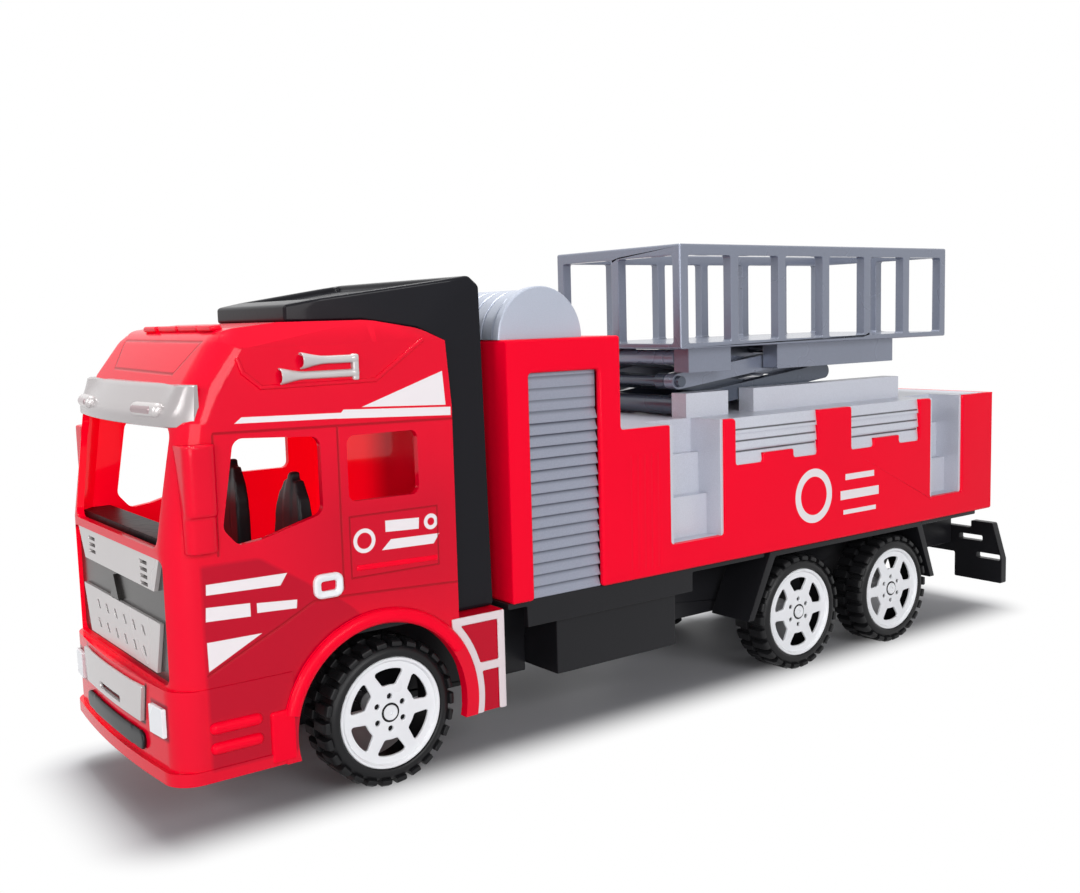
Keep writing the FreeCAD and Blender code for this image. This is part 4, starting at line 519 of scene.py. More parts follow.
# Body: one red moulding, tall cabinet in front and low open bed behind.
# It is plastic with a soft gloss. The climbing ribs of the cabinet are moulded in, and
# a plain white ring and three plain white bars are printed on each side of the bed.
RED = (0.90, 0.0003, 0.022)
PRINT_WHITE = (0.80, 0.745, 0.76)
RING_SOFT = 0.08
BODY_BARS = ((61.4, -173, -188, 2), (55.4, -170.5, -190.5, 3), (49.6, -172, -189, 1.5))
BODY_RIBS = (-79, -81.6, -84.2, -86.8, -89.4)


def axis_of(tree, place, axis):
    return added(tree, "ShaderNodeSeparateXYZ", {"Vector": place}).outputs[axis]


def side_faces(tree, near_y):
    """Place on the toy, and 1 where it lies farther out than near_y."""
    place = place_on(tree)
    away = reckoned(tree, "ABSOLUTE", axis_of(tree, place, "Y"))
    return place, reckoned(tree, "GREATER_THAN", away, near_y * MM)


def joined_masks(tree, operation, masks):
    total = masks[0]
    for mask in masks[1:]:
        total = reckoned(tree, operation, total, mask)
    return total


def within(tree, masks, where):
    """1 where any of the masks is 1, and only on the faces meant."""
    return reckoned(tree, "MULTIPLY", joined_masks(tree, "MAXIMUM", masks), where)


def patch_mask(tree, place, corners, soft=0.12):
    """1 inside a convex outline of (x, z) corners in millimetres."""
    middle_x = sum(x for x, z in corners) / len(corners)
    middle_z = sum(z for x, z in corners) / len(corners)
    masks = []
    for (x0, z0), (x1, z1) in zip(corners, corners[1:] + corners[:1]):
        length = math.hypot(x1 - x0, z1 - z0)
        a, c = (z0 - z1) / length, (x1 - x0) / length
        if a * (middle_x - x0) + c * (middle_z - z0) < 0:
            a, c = -a, -c
        reach = vector_sum(tree, "DOT_PRODUCT", place, (a / MM, 0, c / MM))
        edge = a * (x0 + AXLE_X / MM) + c * z0
        masks.append(graded(tree, reach, edge - soft / 2, edge + soft / 2))
    return joined_masks(tree, "MULTIPLY", masks)


def ring_mask(tree, place, centre, inner, outer):
    """1 between two circles round a centre given as (x, z) in millimetres."""
    flat = vector_sum(tree, "MULTIPLY", place, (1 / MM, 0, 1 / MM))
    away = vector_sum(tree, "DISTANCE", flat, (centre[0] + AXLE_X / MM, 0, centre[1]))
    return reckoned(tree, "MULTIPLY", graded(tree, away, inner - RING_SOFT, inner + RING_SOFT),
                    graded(tree, away, outer + RING_SOFT, outer - RING_SOFT))


def line_masks(tree, place, lines, front=False):
    """1 on each line of (start, end, half its width), in x and z or, on the front, in y and z."""
    def laid(u, v):
        return Vector((0, u, v) if front else (u + AXLE_X / MM, 0, v))

    flat = vector_sum(tree, "MULTIPLY", place, (0 if front else 1 / MM, 1 / MM if front else 0, 1 / MM))
    masks = []
    for start, end, half in lines:
        along = laid(*end) - laid(*start)
        offset = vector_sum(tree, "SUBTRACT", flat, laid(*start))
        share = vector_sum(tree, "DOT_PRODUCT", offset, along / along.length_squared)
        held = added(tree, "ShaderNodeClamp", {"Value": share}).outputs["Result"]
        away = vector_sum(tree, "DISTANCE", offset, scaled(tree, along, held))
        masks.append(graded(tree, away, half, 0, kind="SMOOTHSTEP"))
    return masks


def print_or_shade_on(material, mask, ink):
    """Lay a tone over the plastic's own tone where the mask is 1, for print and for painted shade."""
    tree = material.node_tree
    color = tree.nodes["Principled BSDF"].inputs["Base Color"]
    tree.links.new(blend(tree, mask, color.links[0].from_socket, (*ink, 1)), color)


def groove_in(material, mask, depth, shade):
    """Sink a moulded line into the surface: a dent in the normal and a tone laid in it; a darker tone is
    painted shade in the groove.
    """
    tree = material.node_tree
    normal = tree.nodes["Principled BSDF"].inputs["Normal"]
    inputs = {"Strength": 1, "Distance": depth * MM, "Height": mask, "Normal": normal.links[0].from_socket}
    tree.links.new(added(tree, "ShaderNodeBump", inputs, invert=True).outputs["Normal"], normal)
    print_or_shade_on(material, mask, shade)


body_red = plastic_of("body_red", RED, 0.30, (650, 0.00002), specular=0.05, coat=0.06)
tree = body_red.node_tree
place, sideways = side_faces(tree, 39)
marks = [ring_mask(tree, place, (-157.2, 56.9), 6.3, 8.9)]
for z, first, last, tall in BODY_BARS:
    foot, top = z - tall / 2, z + tall / 2
    marks.append(patch_mask(tree, place, [(first, foot), (first, top), (last, top), (last, foot)]))
print_or_shade_on(body_red, within(tree, marks, sideways), PRINT_WHITE)
ribs = [((x, 44), (x - 0.3, 77), 0.7) for x in BODY_RIBS]
groove_in(body_red, within(tree, line_masks(tree, place, ribs), sideways), 0.10, RED)
moulding("body_shell", body_red, "red_plastic", 0.9, 3)

# Deck: a silver insert dropped into the bed, with stairs, louvred side flaps and the
# rails that carry the lift. The shutters and the drum are separate silver mouldings.
LOUVRES = ((-121.9, -158.9), (-176.7, -212.8))
LOUVRE_HEIGHTS = (81.2, 77.6, 74.4)
SILVER_GRAIN = (1300, 0.00003)
SLATS = 16
SLAT_PITCH = 3.18
SLAT_PROUD = 0.95
SLAT_SECTION = [(0, 0), (0.80, 0.10), (SLAT_PROUD, 0.25), (SLAT_PROUD, 0.60), (0.78, 0.80),
                (-0.15, SLAT_PITCH), (-0.5, SLAT_PITCH), (-0.5, 0)]
DRUM_STEPS = 48
DRUM_RIM = [(0.3, 0), (0, 0.3), (0, 2.6), (0.3, 2.8), (0.8, 2.8)]
DRUM_GROOVE_PITCH = 5.2
DRUM_GROOVE = [(0.8, 0.7), (0.95, 0.45), (1.25, 0.35), (1.25, -0.35), (0.95, -0.45), (0.8, -0.7)]


def slat_strip(length):
    """One slat, leaning out to a rolled lower lip."""
    bm = bmesh.new()
    ends = (-length / 2, length / 2)
    skinned(bm, [[bm.verts.new((x * MM, y * MM, z * MM)) for y, z in SLAT_SECTION] for x in ends])
    return new_piece("slat_strip", bm, 50)


def stacked(tree, given, strip):
    """Slats stacked upwards from the foot of the shutter."""
    line = added(tree, "GeometryNodeMeshLine", {"Count": given["Slat count"], "Offset": given["Pitch"]})
    placed = {"Points": line.outputs["Mesh"], "Instance": strip}
    return [added(tree, "GeometryNodeInstanceOnPoints", placed).outputs["Instances"]]


def soft_block(size, edge=0, segments=2):
    """Block about the origin, its size in metres."""
    bm = bmesh.new()
    bmesh.ops.create_cube(bm, size=1)
    bm.transform(Matrix.Diagonal((*size, 1)))
    if edge:
        bmesh.ops.bevel(bm, geom=bm.edges[:], offset=edge * MM, segments=segments, profile=0.5,
                        affect="EDGES", clamp_overlap=True)
    return bm


def box_form(first, second, edge=0, segments=2):
    """Block between two opposite corners in metres."""
    bm = soft_block([abs(b - a) for a, b in zip(first, second)], edge, segments)
    bm.transform(Matrix.Translation((Vector(first) + Vector(second)) / 2))
    return bm


def drum_form():
    """Half round drum: smooth end flanges and fine grooves between."""
    low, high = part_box("drum")
    radius = (high[0] - low[0]) / 2 / MM
    half = (high[1] - low[1]) / 2 / MM
    right_side = [(radius - sunk, half - inset) for sunk, inset in DRUM_RIM]
    y = half - 4.2
    while y > 1:
        right_side += [(radius - sunk, y + along) for sunk, along in DRUM_GROOVE]
        y -= DRUM_GROOVE_PITCH
    outline = right_side + [(r, -v) for r, v in reversed(right_side)]
    bm = bmesh.new()
    rows = []
    for k in range(DRUM_STEPS + 1):
        u, w = on_circle(MM, math.pi * k / DRUM_STEPS)
        rows.append([bm.verts.new((r * u, y * MM, r * w)) for r, y in outline])
    for end in (0, -1):
        bm.faces.new([row[end] for row in rows])
    bm.faces.new((rows[0][0], rows[0][-1], rows[-1][-1], rows[-1][0]))
    skinned(bm, rows, around=False)
    bm.transform(Matrix.Translation(((low[0] + high[0]) / 2, (low[1] + high[1]) / 2, low[2])))
    return new_piece("drum_grooved", bm, 32)


silver_plastic = plastic_of("silver_plastic", (0.44, 0.475, 0.56), 0.32, SILVER_GRAIN, metallic=0.25,
                            flake=0.04)
deck_silver = plastic_of("deck_silver", (0.56, 0.575, 0.64), 0.32, SILVER_GRAIN, metallic=0.25, flake=0.05)
tree = deck_silver.node_tree
place, sideways = side_faces(tree, 37.2)
# Painted shade: the gaps between the louvre slats are dented and laid near black.
gaps = [((first, z), (last, z), 0.42) for first, last in LOUVRES for z in LOUVRE_HEIGHTS]
groove_in(deck_silver, within(tree, line_masks(tree, place, gaps), sideways), 0.3, (0.06, 0.06, 0.07))
moulding("deck_insert", deck_silver, "silver_plastic", 0.55)
# The shutter's silver is darker in the shade under each slat's lip.
low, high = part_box("roller_shutter_left")
shutter_silver = plastic_of("shutter_silver", (0.28, 0.30, 0.37), 0.34, SILVER_GRAIN, metallic=0.25,
                            flake=0.05)
tree = shutter_silver.node_tree
pitch = SLAT_PITCH * MM
slats_up = reckoned(tree, "MULTIPLY_ADD", axis_of(tree, place_on(tree), "Z"), 1 / pitch, -low[2] / pitch)
under_lip = graded(tree, reckoned(tree, "FRACT", slats_up), 0.62, 0.97, 0, 0.75, "SMOOTHSTEP")
print_or_shade_on(shutter_silver, under_lip, (0.10, 0.11, 0.14))
slat = slat_strip((high[0] - low[0]) / MM - 0.1)
slats = repeat_tree("slats", slat, [("Slat count", "Int"), ("Pitch", "Vector")], stacked)
for side, facing in SIDES:
    low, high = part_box(f"roller_shutter_{side}")
    back_y, face_y = (low[1], high[1]) if facing > 0 else (high[1], low[1])
    head_z = low[2] + (SLAT_PITCH * SLATS + 0.15) * MM
    head = box_form((low[0], back_y, head_z), (high[0], face_y - facing * 0.7 * MM, high[2]), 0.15)
    panel = box_form((low[0], back_y, low[2]), (high[0], back_y + facing * 0.4 * MM, head_z))
    shutter = new_piece(f"roller_shutter_{side}_slatted", together([head, panel]))
    shift = Vector(((low[0] + high[0]) / 2, face_y - facing * SLAT_PROUD * MM, low[2]))
    seat = Matrix.Translation(shift) @ Matrix.Rotation(math.pi if facing < 0 else 0, 4, "Z")
    shutter.data.transform(seat.inverted())
    grown(shutter, slats, (SLATS, (0, 0, pitch), shutter_silver)).transform(seat)
    fixed(shutter, shutter_silver, "silver_plastic", "vehicle", f"roller_shutter_{side}")
bpy.data.objects.remove(slat)
fixed(drum_form(), silver_plastic, "silver_plastic", "vehicle", "drum")

# Cab: one hollow red moulding with open windows, glossier than the body.
# Door gaps and panel lines are moulded in, with painted shade in them. White bands are printed on its
# sides, with plain bars and rings between them, and darker red patches low on them are painted shade.
CAB_RED = (0.75, 0.0004, 0.021)
DEEP_RED = (0.24, 0.0004, 0.014)
GROOVE_SHADE_RED = (0.42, 0.0003, 0.010)
GAP_SHADE_BLACK = (0.015, 0.002, 0.003)
GLOW_RED = (1, 0, 0.006, 1)
FRONT_SHADE_PATCH = [(47.9, 64), (47.9, 17), (27, 17), (8, 46), (12, 50), (34, 64)]
DOOR_SHADE_PATCH = [(24, 80), (24, 45), (-24, 45), (-24, 80)]
STEP_RECESS_SHADE = [(-33.2, 14.2), (-33.2, 40.6), (-18.8, 40.6), (-26.8, 14.2)]
WHITE_BANDS = [
    [(46.9, 59.8), (27.4, 59.6), (29.2, 56.9), (47, 57.4)],
    [(47.4, 46.6), (34.3, 46.5), (47.3, 39.9)],
    [(38.2, 95.3), (36.4, 96.6), (11.5, 95.9), (11.5, 94.6)],
    [(12.8, 94.6), (10.9, 96.6), (-19, 95.3), (-19, 93.2)],
    [(5.9, 96.9), (-17.6, 104.4), (-17.6, 95.9)],
    [(2.2, 61.4), (-0.4, 63.8), (-14.4, 63.5), (-12.6, 61.1)],
    [(47.2, 54.6), (36.8, 54), (36.8, 50.9), (47.4, 51.4)],
    [(35.2, 53.7), (25.2, 52.9), (25.4, 50.9), (35.2, 51.4)],
    [(1, 68.6), (-8.6, 68.2), (-8.4, 65.4), (1, 65.8)],
]
WHITE_RINGS = [((6.9, 64.4), 2, 3), ((-12, 66.8), 1, 2)]
DOOR_GAPS = [
    ((12.8, 92.7), (12.8, 53.4), 0.45), ((43.2, 93.4), (-19.4, 92.3), 0.5),
    ((-19.4, 50.2), (12.2, 51.7), 0.45), ((12.2, 51.7), (21, 51.7), 0.45),
    ((21, 51.7), (29.9, 47.2), 0.5), ((29.9, 47.2), (47.4, 39), 0.5), ((43.4, 93), (43.6, 66), 0.45),
]
DOOR_PANEL = [(10.6, 70.6), (-14, 70.6), (-14, 55.6), (10.6, 55.6)]
BROW_PANEL = [(-20.8, 106.9), (23.4, 106.4), (28.8, 113.6), (-26.5, 113.9)]
BUMPER_GAP_SHADE = [((-8.4, 28.2), (8.4, 28.2), 2.2), ((-23.3, 34.9), (-21.5, 25.9), 1.1),
               ((23.3, 34.9), (21.5, 25.9), 1.1), ((-21.5, 25.7), (21.5, 25.7), 0.9)]
LAMP_GAP_SHADE = [[(y, 24.6), (y + 7.7, 24.6), (y + 7.7, 32.2), (y, 32.2)] for y in (26.2, -33.9)]
FRONT_X = 37
ROOF_Z = 103
ROOF_BENDS = [((47, 105), (39, 116.2), (24, 117.7), 10),
              ((0, 117.7), (-13.4, 115.2), (-19.4, 112), 14),
              ((24, 117.7), (0, 117.7), (-13.4, 115.2), 30)]
ROOF_CUTS = 6
SIDE_Y = 39.3
ARCH_X, ARCH_Z = 3.2, 19.5
ARCH_STEPS = 60
ARCH_SECTION = [(23.95, -0.6), (23.95, 0.35), (24.35, 0.85), (25.1, 1.15), (26, 1.15), (26.8, 0.8),
                (27.3, 0.3), (27.5, -0.6)]
HANDLE_SECTION = [(0, 0), (0, 1), (0.45, 1.45), (1.3, 1.45), (1.75, 1), (1.75, 0)]
HORN_FRAME = [(-12.5, 112.2), (1.5, 103.2), (31, 103), (35, 106.5), (36, 109.5)]
ROOF_STRIPS = [(-19, -11, 36.6), (-8.5, 3, 36.2), (5.5, 17, 36.2), (19.5, 27, 36.6)]


def frame_lines(corners, half):
    """Lines from corner to corner, all the way round."""
    return [(start, end, half) for start, end in zip(corners, corners[1:] + corners[:1])]


def softened_roof(bm):
    """Cut rows across the bends of the roof's side profile, then lay them on an arc."""
    for before, corner, after, radius in ROOF_BENDS:
        corner = Vector(corner)
        arms = [(Vector(end) - corner).normalized() for end in (before, after)]
        half_turn = (math.pi - arms[0].angle(arms[1])) / 2
        reach = radius * math.tan(half_turn)
        for arm in arms:
            for k in range(ROOF_CUTS + 1):
                cut = corner + arm * (reach * k / ROOF_CUTS)
                faces = [f for f in bm.faces if all(v.co.z > ROOF_Z * MM for v in f.verts)]
                geom = [*{v for f in faces for v in f.verts}, *{e for f in faces for e in f.edges}, *faces]
                bmesh.ops.bisect_plane(bm, geom=geom, dist=0.02 * MM, plane_co=spot(cut.x, 0, cut.y),
                                       plane_no=(arm.x, 0, arm.y))
        for vert in bm.verts:
            place = Vector(((vert.co.x - AXLE_X) / MM, vert.co.z / MM))
            if place.y < ROOF_Z:
                continue
            away = place - corner
            for arm, other in (arms, arms[::-1]):
                inward = Vector((-arm.y, arm.x))
                if inward.dot(other) < 0:
                    inward = -inward
                along, depth = away.dot(arm), away.dot(inward)
                if -0.05 <= along < reach and -0.1 < depth < 1.2:
                    sink = radius - math.sqrt(max(0, radius ** 2 - (reach - along) ** 2))
                    share = 1 - max(0, depth) / 1.6
                    vert.co += Vector((inward.x, 0, inward.y)) * (sink * share * MM)
                    break


def gathered(name, material, slot, forms, *nodes):
    """One smooth piece on the toy from loose forms."""
    return fixed(new_piece(name, together(forms), 42), material, slot, "vehicle", *nodes)


def capsule_bar(start, end, width, proud, segments=5):
    """Rounded bar between two places in metres."""
    along = end - start
    bm = soft_block((along.length + width * MM, proud * MM, width * MM), min(width, proud) * 0.48, segments)
    turn = Vector((1, 0, 0)).rotation_difference(along.normalized()).to_matrix().to_4x4()
    bm.transform(Matrix.Translation((start + end) / 2) @ turn)
    return bm


def door_handle(low, high, facing):
    """Rounded square ring between two (x, z) corners on the cab side."""
    bm = bmesh.new()
    loops = []
    for inset, lift in HANDLE_SECTION:
        radius = max(0.7, 2 - inset)
        loop = []
        for k, (right, up) in enumerate(((1, 1), (-1, 1), (-1, -1), (1, -1))):
            x, z = (high if right > 0 else low)[0], (high if up > 0 else low)[1]
            centre = (x - right * (inset + radius), z - up * (inset + radius))
            for step in range(7):
                u, w = on_circle(radius, math.radians(90 * k + 15 * step), centre)
                loop.append(bm.verts.new(spot(u, facing * (SIDE_Y - 0.4 + lift), w)))
        loops.append(loop)
    skinned(bm, loops + loops[:1], capped=False)
    return bm


def side_reach(faces, x, z, facing):
    """How far out the cab's side lies in millimetres, if it is met."""
    met = faces.ray_cast(spot(x, facing * 80, z), Vector((0, -facing, 0)))[0]
    return abs(met.y) / MM if met else None


def arch_lip(faces, facing):
    """Rounded lip round the wheel arch, laid along the cab's own side."""
    bm = bmesh.new()
    rows = []
    for step in range(ARCH_STEPS + 1):
        angle = math.radians(14 + 134 * step / ARCH_STEPS)
        met = [side_reach(faces, *on_circle(r, angle, (ARCH_X, ARCH_Z)), facing) for r in (24.6, 26.4)]
        base = min([y for y in met if y], default=39)
        row = []
        for radius, rise in ARCH_SECTION:
            x, z = on_circle(radius, angle, (ARCH_X, ARCH_Z))
            row.append(bm.verts.new(spot(x, facing * (base + rise), z)))
        rows.append(row)
    skinned(bm, rows)
    return bm


cab_red = plastic_of("cab_red", CAB_RED, 0.22, (160, 0.00003), specular=0.04, coat=0.25)
tree = cab_red.node_tree
place, sideways = side_faces(tree, 37.6)
# Painted shade: darker red patches blended in at about half strength, low at the front, over the lower doors
# and in the step recess.
deep = [patch_mask(tree, place, FRONT_SHADE_PATCH, 1),
        reckoned(tree, "MULTIPLY", patch_mask(tree, place, DOOR_SHADE_PATCH, 20), 0.55),
        patch_mask(tree, place, STEP_RECESS_SHADE, 0.4)]
print_or_shade_on(cab_red, reckoned(tree, "MULTIPLY", within(tree, deep, sideways), 0.52), DEEP_RED)
marks = [patch_mask(tree, place, corners) for corners in WHITE_BANDS]
marks += [ring_mask(tree, place, *ring) for ring in WHITE_RINGS]
print_or_shade_on(cab_red, within(tree, marks, sideways), PRINT_WHITE)
# Painted shade: the door gaps and panel lines are dented and laid in a darker red.
lines = line_masks(tree, place, DOOR_GAPS + frame_lines(DOOR_PANEL, 0.35))
groove_in(cab_red, within(tree, lines, sideways), 0.22, GROOVE_SHADE_RED)
ahead = reckoned(tree, "GREATER_THAN", axis_of(tree, place, "X"), AXLE_X + FRONT_X * MM)
# Painted shade: the brow panel's outline on the front is dented and laid in a darker red too.
lines = line_masks(tree, place, frame_lines(BROW_PANEL, 0.5), front=True)
groove_in(cab_red, within(tree, lines, ahead), 0.22, GROOVE_SHADE_RED)
# Painted shade: near-black lines in the slot and the gaps round the number panel.
lines = line_masks(tree, place, BUMPER_GAP_SHADE, front=True)
print_or_shade_on(cab_red, within(tree, lines, ahead), GAP_SHADE_BLACK)
# Painted shade: deep red lines in the gaps round the headlamps.
for corners in LAMP_GAP_SHADE:
    lines = line_masks(tree, place, frame_lines(corners, 1), front=True)
    print_or_shade_on(cab_red, within(tree, lines, ahead), DEEP_RED)
# Painted light: the inner faces on the right glow red, standing in for the light that falls in through
# the left windows onto the far walls.
coords = added(tree, "ShaderNodeTexCoord").outputs
from_middle = vector_sum(tree, "SUBTRACT", coords["Object"], spot(12, 0, 80))
facing_out = vector_sum(tree, "DOT_PRODUCT", from_middle, coords["Normal"])
inner = graded(tree, facing_out, -0.012, -0.028, 0, 0.46)
right_half = graded(tree, axis_of(tree, coords["Object"], "Y"), 0.008, -0.006)
shader = tree.nodes["Principled BSDF"].inputs
shader["Emission Color"].default_value = GLOW_RED
tree.links.new(reckoned(tree, "MULTIPLY", inner, right_half), shader["Emission Strength"])
cab = moulding("cab_shell", cab_red, "red_plastic", 0.55, 3, reshaped=softened_roof).data
cab_faces = BVHTree.FromPolygons([v.co for v in cab.vertices], [p.vertices[:] for p in cab.polygons])
for side, facing in SIDES:
    out_y = facing * SIDE_Y
    forms = [capsule_bar(spot(46.6, out_y, z), spot(36.9, out_y, z), 2.9, 2.8, 7) for z in (26.7, 22)]
    forms.append(capsule_bar(spot(-13, facing * 38.9, 57.4), spot(8.6, facing * 38.9, 57.9), 1.5, 1.1))
    forms.append(box_form(spot(27.3, facing * 38.6, 15), spot(33.6, facing * 40.2, 27.4), 0.75, 4))
    gathered(f"side_ribs_{side}", body_red, "red_plastic", forms)
    gathered(f"arch_lip_{side}", body_red, "red_plastic", [arch_lip(cab_faces, facing)])
    ends = [spot(x, facing * ((side_reach(cab_faces, x, z, facing) or 37) + 0.1), z) for x, z in HORN_FRAME]
    forms = [capsule_bar(end, start, 1.1, 0.9) for start, end in zip(ends, ends[1:])]
    gathered(f"horn_frame_{side}", cab_red, "red_plastic", forms)
    handle = door_handle((13.4, 52.1), (21, 58), facing)
    gathered(f"door_handle_{side}", white_plastic, "white_plastic", [handle])
forms = [capsule_bar(spot(x, first, 116.7), spot(x, last, 116.7), 1.5, 3) for first, last, x in ROOF_STRIPS]
gathered("roof_strips", cab_red, "red_plastic", forms)

# Cab inside: a black floor moulding with two ribbed seats, and a black dashboard.
# Both lie inside the shell and are seen through the open windows.
CAB_FLOOR_Z = 43.6
SEAT_X = 14.4
SEAT_Y = 19.8
SEAT_FOOT_Z = CAB_FLOOR_Z - 0.4
SEAT_TOP_Z = 80.9
CUSHION_Z = 55
RIB_PITCH = 5.5
RIB_WIDTH = 5.1
RIB_DEPTH = 3.9
SEAT_RIBS = ((-1, RIB_WIDTH, RIB_DEPTH, 0, 2), (0, RIB_WIDTH, RIB_DEPTH, 0, 0),
             (1, RIB_WIDTH, RIB_DEPTH, 0, 2), (0, 15, 2.2, 0.8, 3.2))


def worn_round(piece, material, slot, cell, passes, node):
    """Round a small moulding all over."""
    cells = piece.modifiers.new("cells", "REMESH")
    cells.mode = "VOXEL"
    cells.voxel_size = cell * MM
    even = piece.modifiers.new("even", "SMOOTH")
    even.factor = 0.5
    even.iterations = passes
    settled(piece).shade_smooth()
    fixed(piece, material, slot, "vehicle", node)


def rounded_form(node, material, slot, cell, passes):
    """A node's own form, rounded all over."""
    piece = linked(f"{node}_rounded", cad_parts[node].data.copy())
    worn_round(piece, material, slot, cell, passes, node)


def seat_back(facing):
    """Three upright ribs on a plate, drawn together at the top."""
    forms = []
    for place, width, depth, inset, drop in SEAT_RIBS:
        bm = bmesh.new()
        bmesh.ops.create_cube(bm, size=1)
        upright = [e for e in bm.edges if abs(e.verts[0].co.z - e.verts[1].co.z) > 0.5]
        bmesh.ops.subdivide_edges(bm, edges=upright, cuts=7, use_grid_fill=True)
        for vert in bm.verts:
            rise = vert.co.z + 0.5
            narrow = 1 - 0.60 * rise ** 7
            thin = 1 - 0.40 * rise ** 6
            x = SEAT_X + inset + (vert.co.x + 0.5) * depth * thin
            y = facing * SEAT_Y + (place * RIB_PITCH + vert.co.y * width) * narrow
            z = SEAT_FOOT_Z + (SEAT_TOP_Z - drop - CAB_FLOOR_Z) * rise
            vert.co = spot(x, y, z)
        forms.append(bm)
    return forms


def cab_inside():
    """The floor plate of the black moulding with its two seats."""
    floor = bmesh.new()
    floor.from_mesh(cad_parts["cab_interior"].data)
    welded(floor, 0.01)
    whole = floor.verts[:] + floor.edges[:] + floor.faces[:]
    cut = bmesh.ops.bisect_plane(floor, geom=whole, dist=0.0001 * MM, plane_no=(0, 0, 1), clear_outer=True,
                                 plane_co=(0, 0, (CAB_FLOOR_Z - 0.1) * MM))
    rim = [e for e in cut["geom_cut"] if isinstance(e, bmesh.types.BMEdge)]
    bmesh.ops.holes_fill(floor, edges=rim, sides=0)
    forms = [floor]
    for facing in (1, -1):
        forms += seat_back(facing)
        forms.append(box_form(spot(SEAT_X + 2, facing * (SEAT_Y - 8), SEAT_FOOT_Z),
                              spot(SEAT_X + 15, facing * (SEAT_Y + 8), CUSHION_Z)))
    return new_piece("cab_inside", together(forms), 42)


worn_round(cab_inside(), black_plastic, "black_plastic", 0.45, 3, "cab_interior")
dash_black = plastic_of("dash_black", (0.005, 0.005, 0.006), 0.36, (420, 0.00022), specular=0.06)
moulding("dashboard", dash_black, "black_plastic", 0.6)

# Cab front: a black surround with a smoky chrome band, bright grilles pressed over it,
# a number panel left blank, white headlamps and a rubber-black fog bar in the bumper.
bright_plastic = plastic_of("bright_plastic", (0.54, 0.51, 0.505), 0.26, (700, 0.00001), metallic=0.25)
smoke_chrome = plastic_of("smoke_chrome", (0.050, 0.046, 0.045), 0.24, metallic=0.7)
trim_plastic = plastic_of("trim_plastic", (0.72, 0.62, 0.64), 0.26, SILVER_GRAIN)
moulding("grille_surround", smoke_chrome, "black_plastic", 0.3)
moulding("upper_grille", bright_plastic, "silver_plastic", 0.15)
moulding("lower_grille", bright_plastic, "silver_plastic", 0.15)
moulding("number_panel", bright_plastic, "white_plastic", 0.45)
rounded_form("fog_bar", black_plastic, "black_plastic", 0.4, 8)
for side in ("left", "right"):
    moulding(f"headlamp_{side}", white_plastic, "white_plastic", 0.45, 3)
    moulding(f"step_trim_{side}", trim_plastic, "silver_plastic", 0.35, 3)

# Visor: a bright moulding clipped over the windscreen, bowed like the cab's front.
# A lamp pod is moulded near each end, with a darker lens.
VISOR_FRONT_X = 52.2
VISOR_HALF = 39
VISOR_R = 9
VISOR_BOW = 2.4
VISOR_TURN = math.radians(65)
VISOR_STATIONS = 52
VISOR_EDGE = 0.35
VISOR_FOOT_Z, VISOR_TOP_Z = 94.9, 104.4
VISOR_SECTION = [(0.55, VISOR_FOOT_Z), (0.15, 95.2), (0, 95.8), (0.1, 97.2), (0.5, 98.2), (1.7, 99.7),
                 (3.4, 101.8), (4.7, 103.4), (5.3, 104.1), (6, VISOR_TOP_Z)]
POD_Z = 98.7


def visor_plan(share):
    """Place and outward direction on the visor's lip, from 0 at the left to 1 at the right."""
    shoulder = VISOR_HALF - VISOR_R
    corner = VISOR_R * VISOR_TURN
    facing = 1 if share < 0.5 else -1
    run = (1 - abs(2 * share - 1)) * (corner + shoulder)
    if run < corner:
        out = Vector(on_circle(1, facing * (VISOR_TURN - run / VISOR_R)))
        return Vector((VISOR_FRONT_X - VISOR_R, facing * shoulder)) + out * VISOR_R, out
    y = facing * (shoulder + corner - run)
    radius = (shoulder ** 2 + VISOR_BOW ** 2) / (2 * VISOR_BOW)
    centre = Vector((VISOR_FRONT_X + VISOR_BOW - radius, 0))
    place = Vector((centre.x + math.sqrt(radius ** 2 - y ** 2), y))
    return place, (place - centre).normalized()


def visor_form():
    """Lip, slanted front and flat top in one band, thicker at its ends."""
    bm = bmesh.new()
    rows = []
    for k in range(VISOR_STATIONS + 1):
        place, out = visor_plan(k / VISOR_STATIONS)
        turned = max(0, (abs(place.y) / VISOR_HALF - 0.62) / 0.38)
        held = 1 - turned ** 1.5
        row = []
        for setback, z in VISOR_SECTION:
            spread = place - out * (VISOR_EDGE if z in (VISOR_FOOT_Z, VISOR_TOP_Z) else 0)
            row.append(bm.verts.new(spot(spread.x - setback * held, spread.y, z)))
        for z, depth in ((VISOR_TOP_Z, 6 * held), (VISOR_FOOT_Z, 0.6)):
            x = min(50 - (z - 95) * 0.425, place.x - depth - 0.8)
            row.append(bm.verts.new(spot(x, (place - out * VISOR_EDGE).y, z)))
        rows.append(row)
    skinned(bm, rows)
    piece = new_piece("visor_bowed", bm)
    rounded_edges(piece, 0.45 * MM, 3, 50)
    return piece


def pod_form(y, size, proud):
    """Lamp pod: a rounded bulge across the front of the visor."""
    share = 0
    while visor_plan(share)[0].y > y:
        share += 0.002
    place, out = visor_plan(share)
    bm = soft_block([length * MM for length in size], min(size) * 0.48, 10)
    lean = Matrix.Rotation(math.radians(-16), 4, "Y")
    turn = Matrix.Rotation(math.atan2(out.y, out.x), 4, "Z")
    centre = place + out * (proud - size[0] / 2)
    bm.transform(Matrix.Translation(spot(centre.x, centre.y, POD_Z)) @ turn @ lean)
    return bm


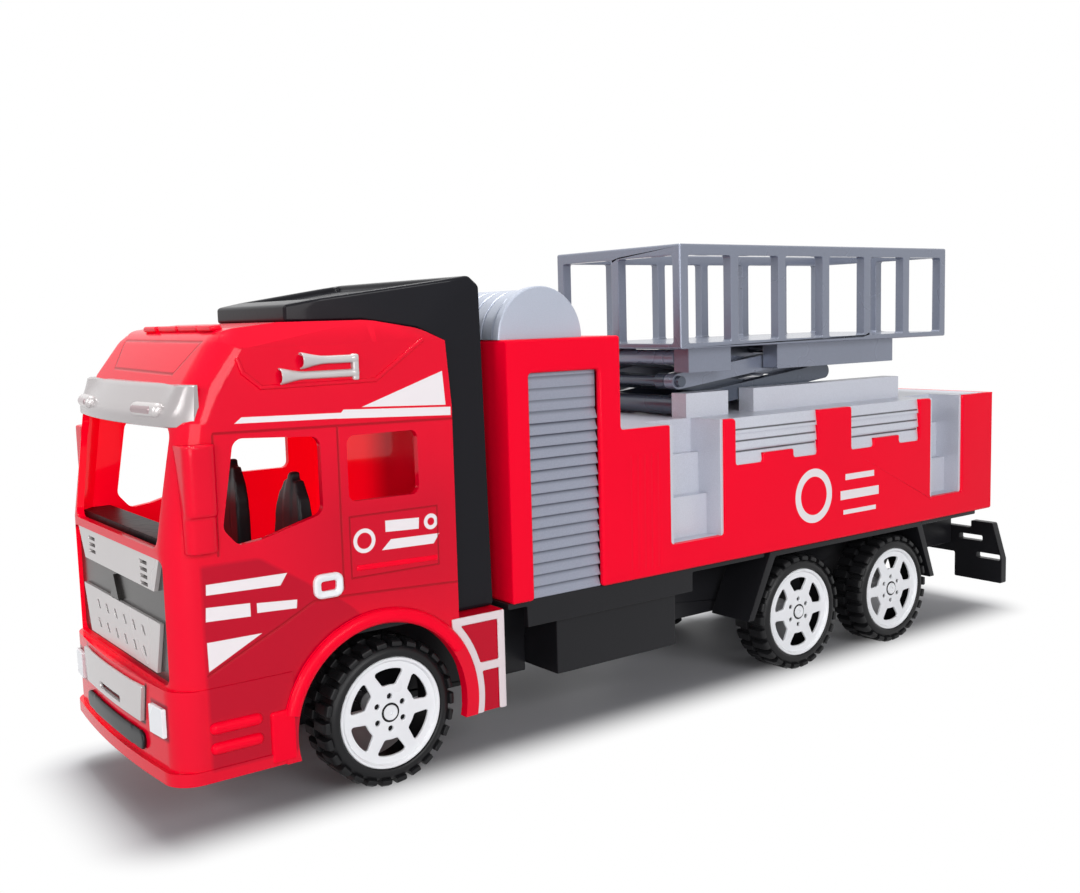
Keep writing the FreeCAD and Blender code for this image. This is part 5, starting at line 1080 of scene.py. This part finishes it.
lens_plastic = plastic_of("lens_plastic", (0.36, 0.27, 0.28), 0.16, (900, 0.00001), metallic=0.35)
visor_plastic = plastic_of("visor_plastic", (0.40, 0.37, 0.37), 0.22, (700, 0.00001), metallic=0.30)
fixed(visor_form(), visor_plastic, "silver_plastic", "vehicle", "visor")
for side, facing in SIDES:
    for part, plastic, y, size, proud in (("lamp", bright_plastic, 23.5, (3.2, 13, 3.4), 0.75),
                                          ("lens", lens_plastic, 23, (2.6, 10.2, 2), 1.05)):
        gathered(f"visor_{part}_{side}", plastic, "silver_plastic", [pod_form(facing * y, size, proud)])

# Mirrors: red housings on short arms, one on each front corner post of the cab.
# They are moulded in the cab's own plastic, with no glass, and rounded all over.
for side in ("left", "right"):
    rounded_form(f"mirror_{side}", cab_red, "red_plastic", 0.35, 14)

# Air horns: a pair of trumpets low on the roof's left side, and the same on the right.
# They are bright mouldings with hollow bells, and one post at the back holds each pair.
HORN_BELL_X = 26.6
HORN_THROAT_X = 12
HORN_R = 1.95
HORN_PROFILE = [(0, 6.2), (0.95, 6.2), (1.15, 6.5), (1.15, 7.6), (0.95, 8), (0.95, 20), (1.05, 21.6),
                (1.35, 23.4), (1.75, 25.2), (2, 26.4), (HORN_R, HORN_BELL_X), (1.6, 26.5), (1.1, 25),
                (0, 23.8)]


def horn_form(y, z, reach):
    """One trumpet with a flared, hollow bell, pointing forward."""
    longer = reach - HORN_BELL_X
    profile = [(radius, -x - (longer if x > HORN_THROAT_X else 0)) for radius, x in HORN_PROFILE]
    bm = spun(profile, 28, closed=False)
    bm.transform(Matrix.Translation(spot(0, y, z)) @ Matrix.Rotation(math.radians(90), 4, "Z"))
    return bm


for side, facing in SIDES:
    low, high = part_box(f"air_horns_{side}")
    rear_x = (low[0] - AXLE_X) / MM
    horn_y = (high[1] if facing > 0 else low[1]) / MM - facing * HORN_R
    post = box_form(spot(rear_x, horn_y - 0.9, 103.4), spot(rear_x + 1.7, horn_y + 0.9, 109.7), 0.5, 3)
    forms = [horn_form(horn_y, 105.2, 26.4), horn_form(horn_y, 108.6, 20.9), post]
    gathered(f"air_horns_{side}_turned", bright_plastic, "silver_plastic", forms, f"air_horns_{side}")

# Wind deflector: one glossy black moulding over the cab roof and down the cab's back.
# It is clipped on behind the cab, and its edges are well rounded.
deflector_black = plastic_of("deflector_black", (0.008, 0.008, 0.011), 0.30, (500, 0.00003),
                             specular=0.06, coat=0.15)
moulding("wind_deflector", deflector_black, "black_plastic", 1, 3)

# Scissor lift: four crossed frames in metallic grey plastic, the lower pair nearly black.
# They turn on moulded pins and carry the work basket, a grey moulded frame.
lift_finish = {"metallic": 0.45, "flake": 0.05, "coat": 0.35}
grey_plastic = plastic_of("grey_plastic", (0.20, 0.22, 0.28), 0.28, SILVER_GRAIN, **lift_finish)
dark_plastic = plastic_of("dark_plastic", (0.064, 0.078, 0.108), 0.28, SILVER_GRAIN, **lift_finish)
for level, plastic in (("lower", dark_plastic), ("upper", grey_plastic)):
    for part in ("outer", "inner"):
        moulding(f"lift_{level}_{part}", plastic, "grey_plastic", 0.45, body=f"{level}_{part}_frame")
for part, edge, segments in (("frame", 0.7, 3), ("lug_left", 0.3, 2), ("bracket_left", 0.4, 2),
                             ("lug_right", 0.3, 2), ("bracket_right", 0.4, 2)):
    moulding(f"basket_{part}", grey_plastic, "grey_plastic", edge, segments, "basket")
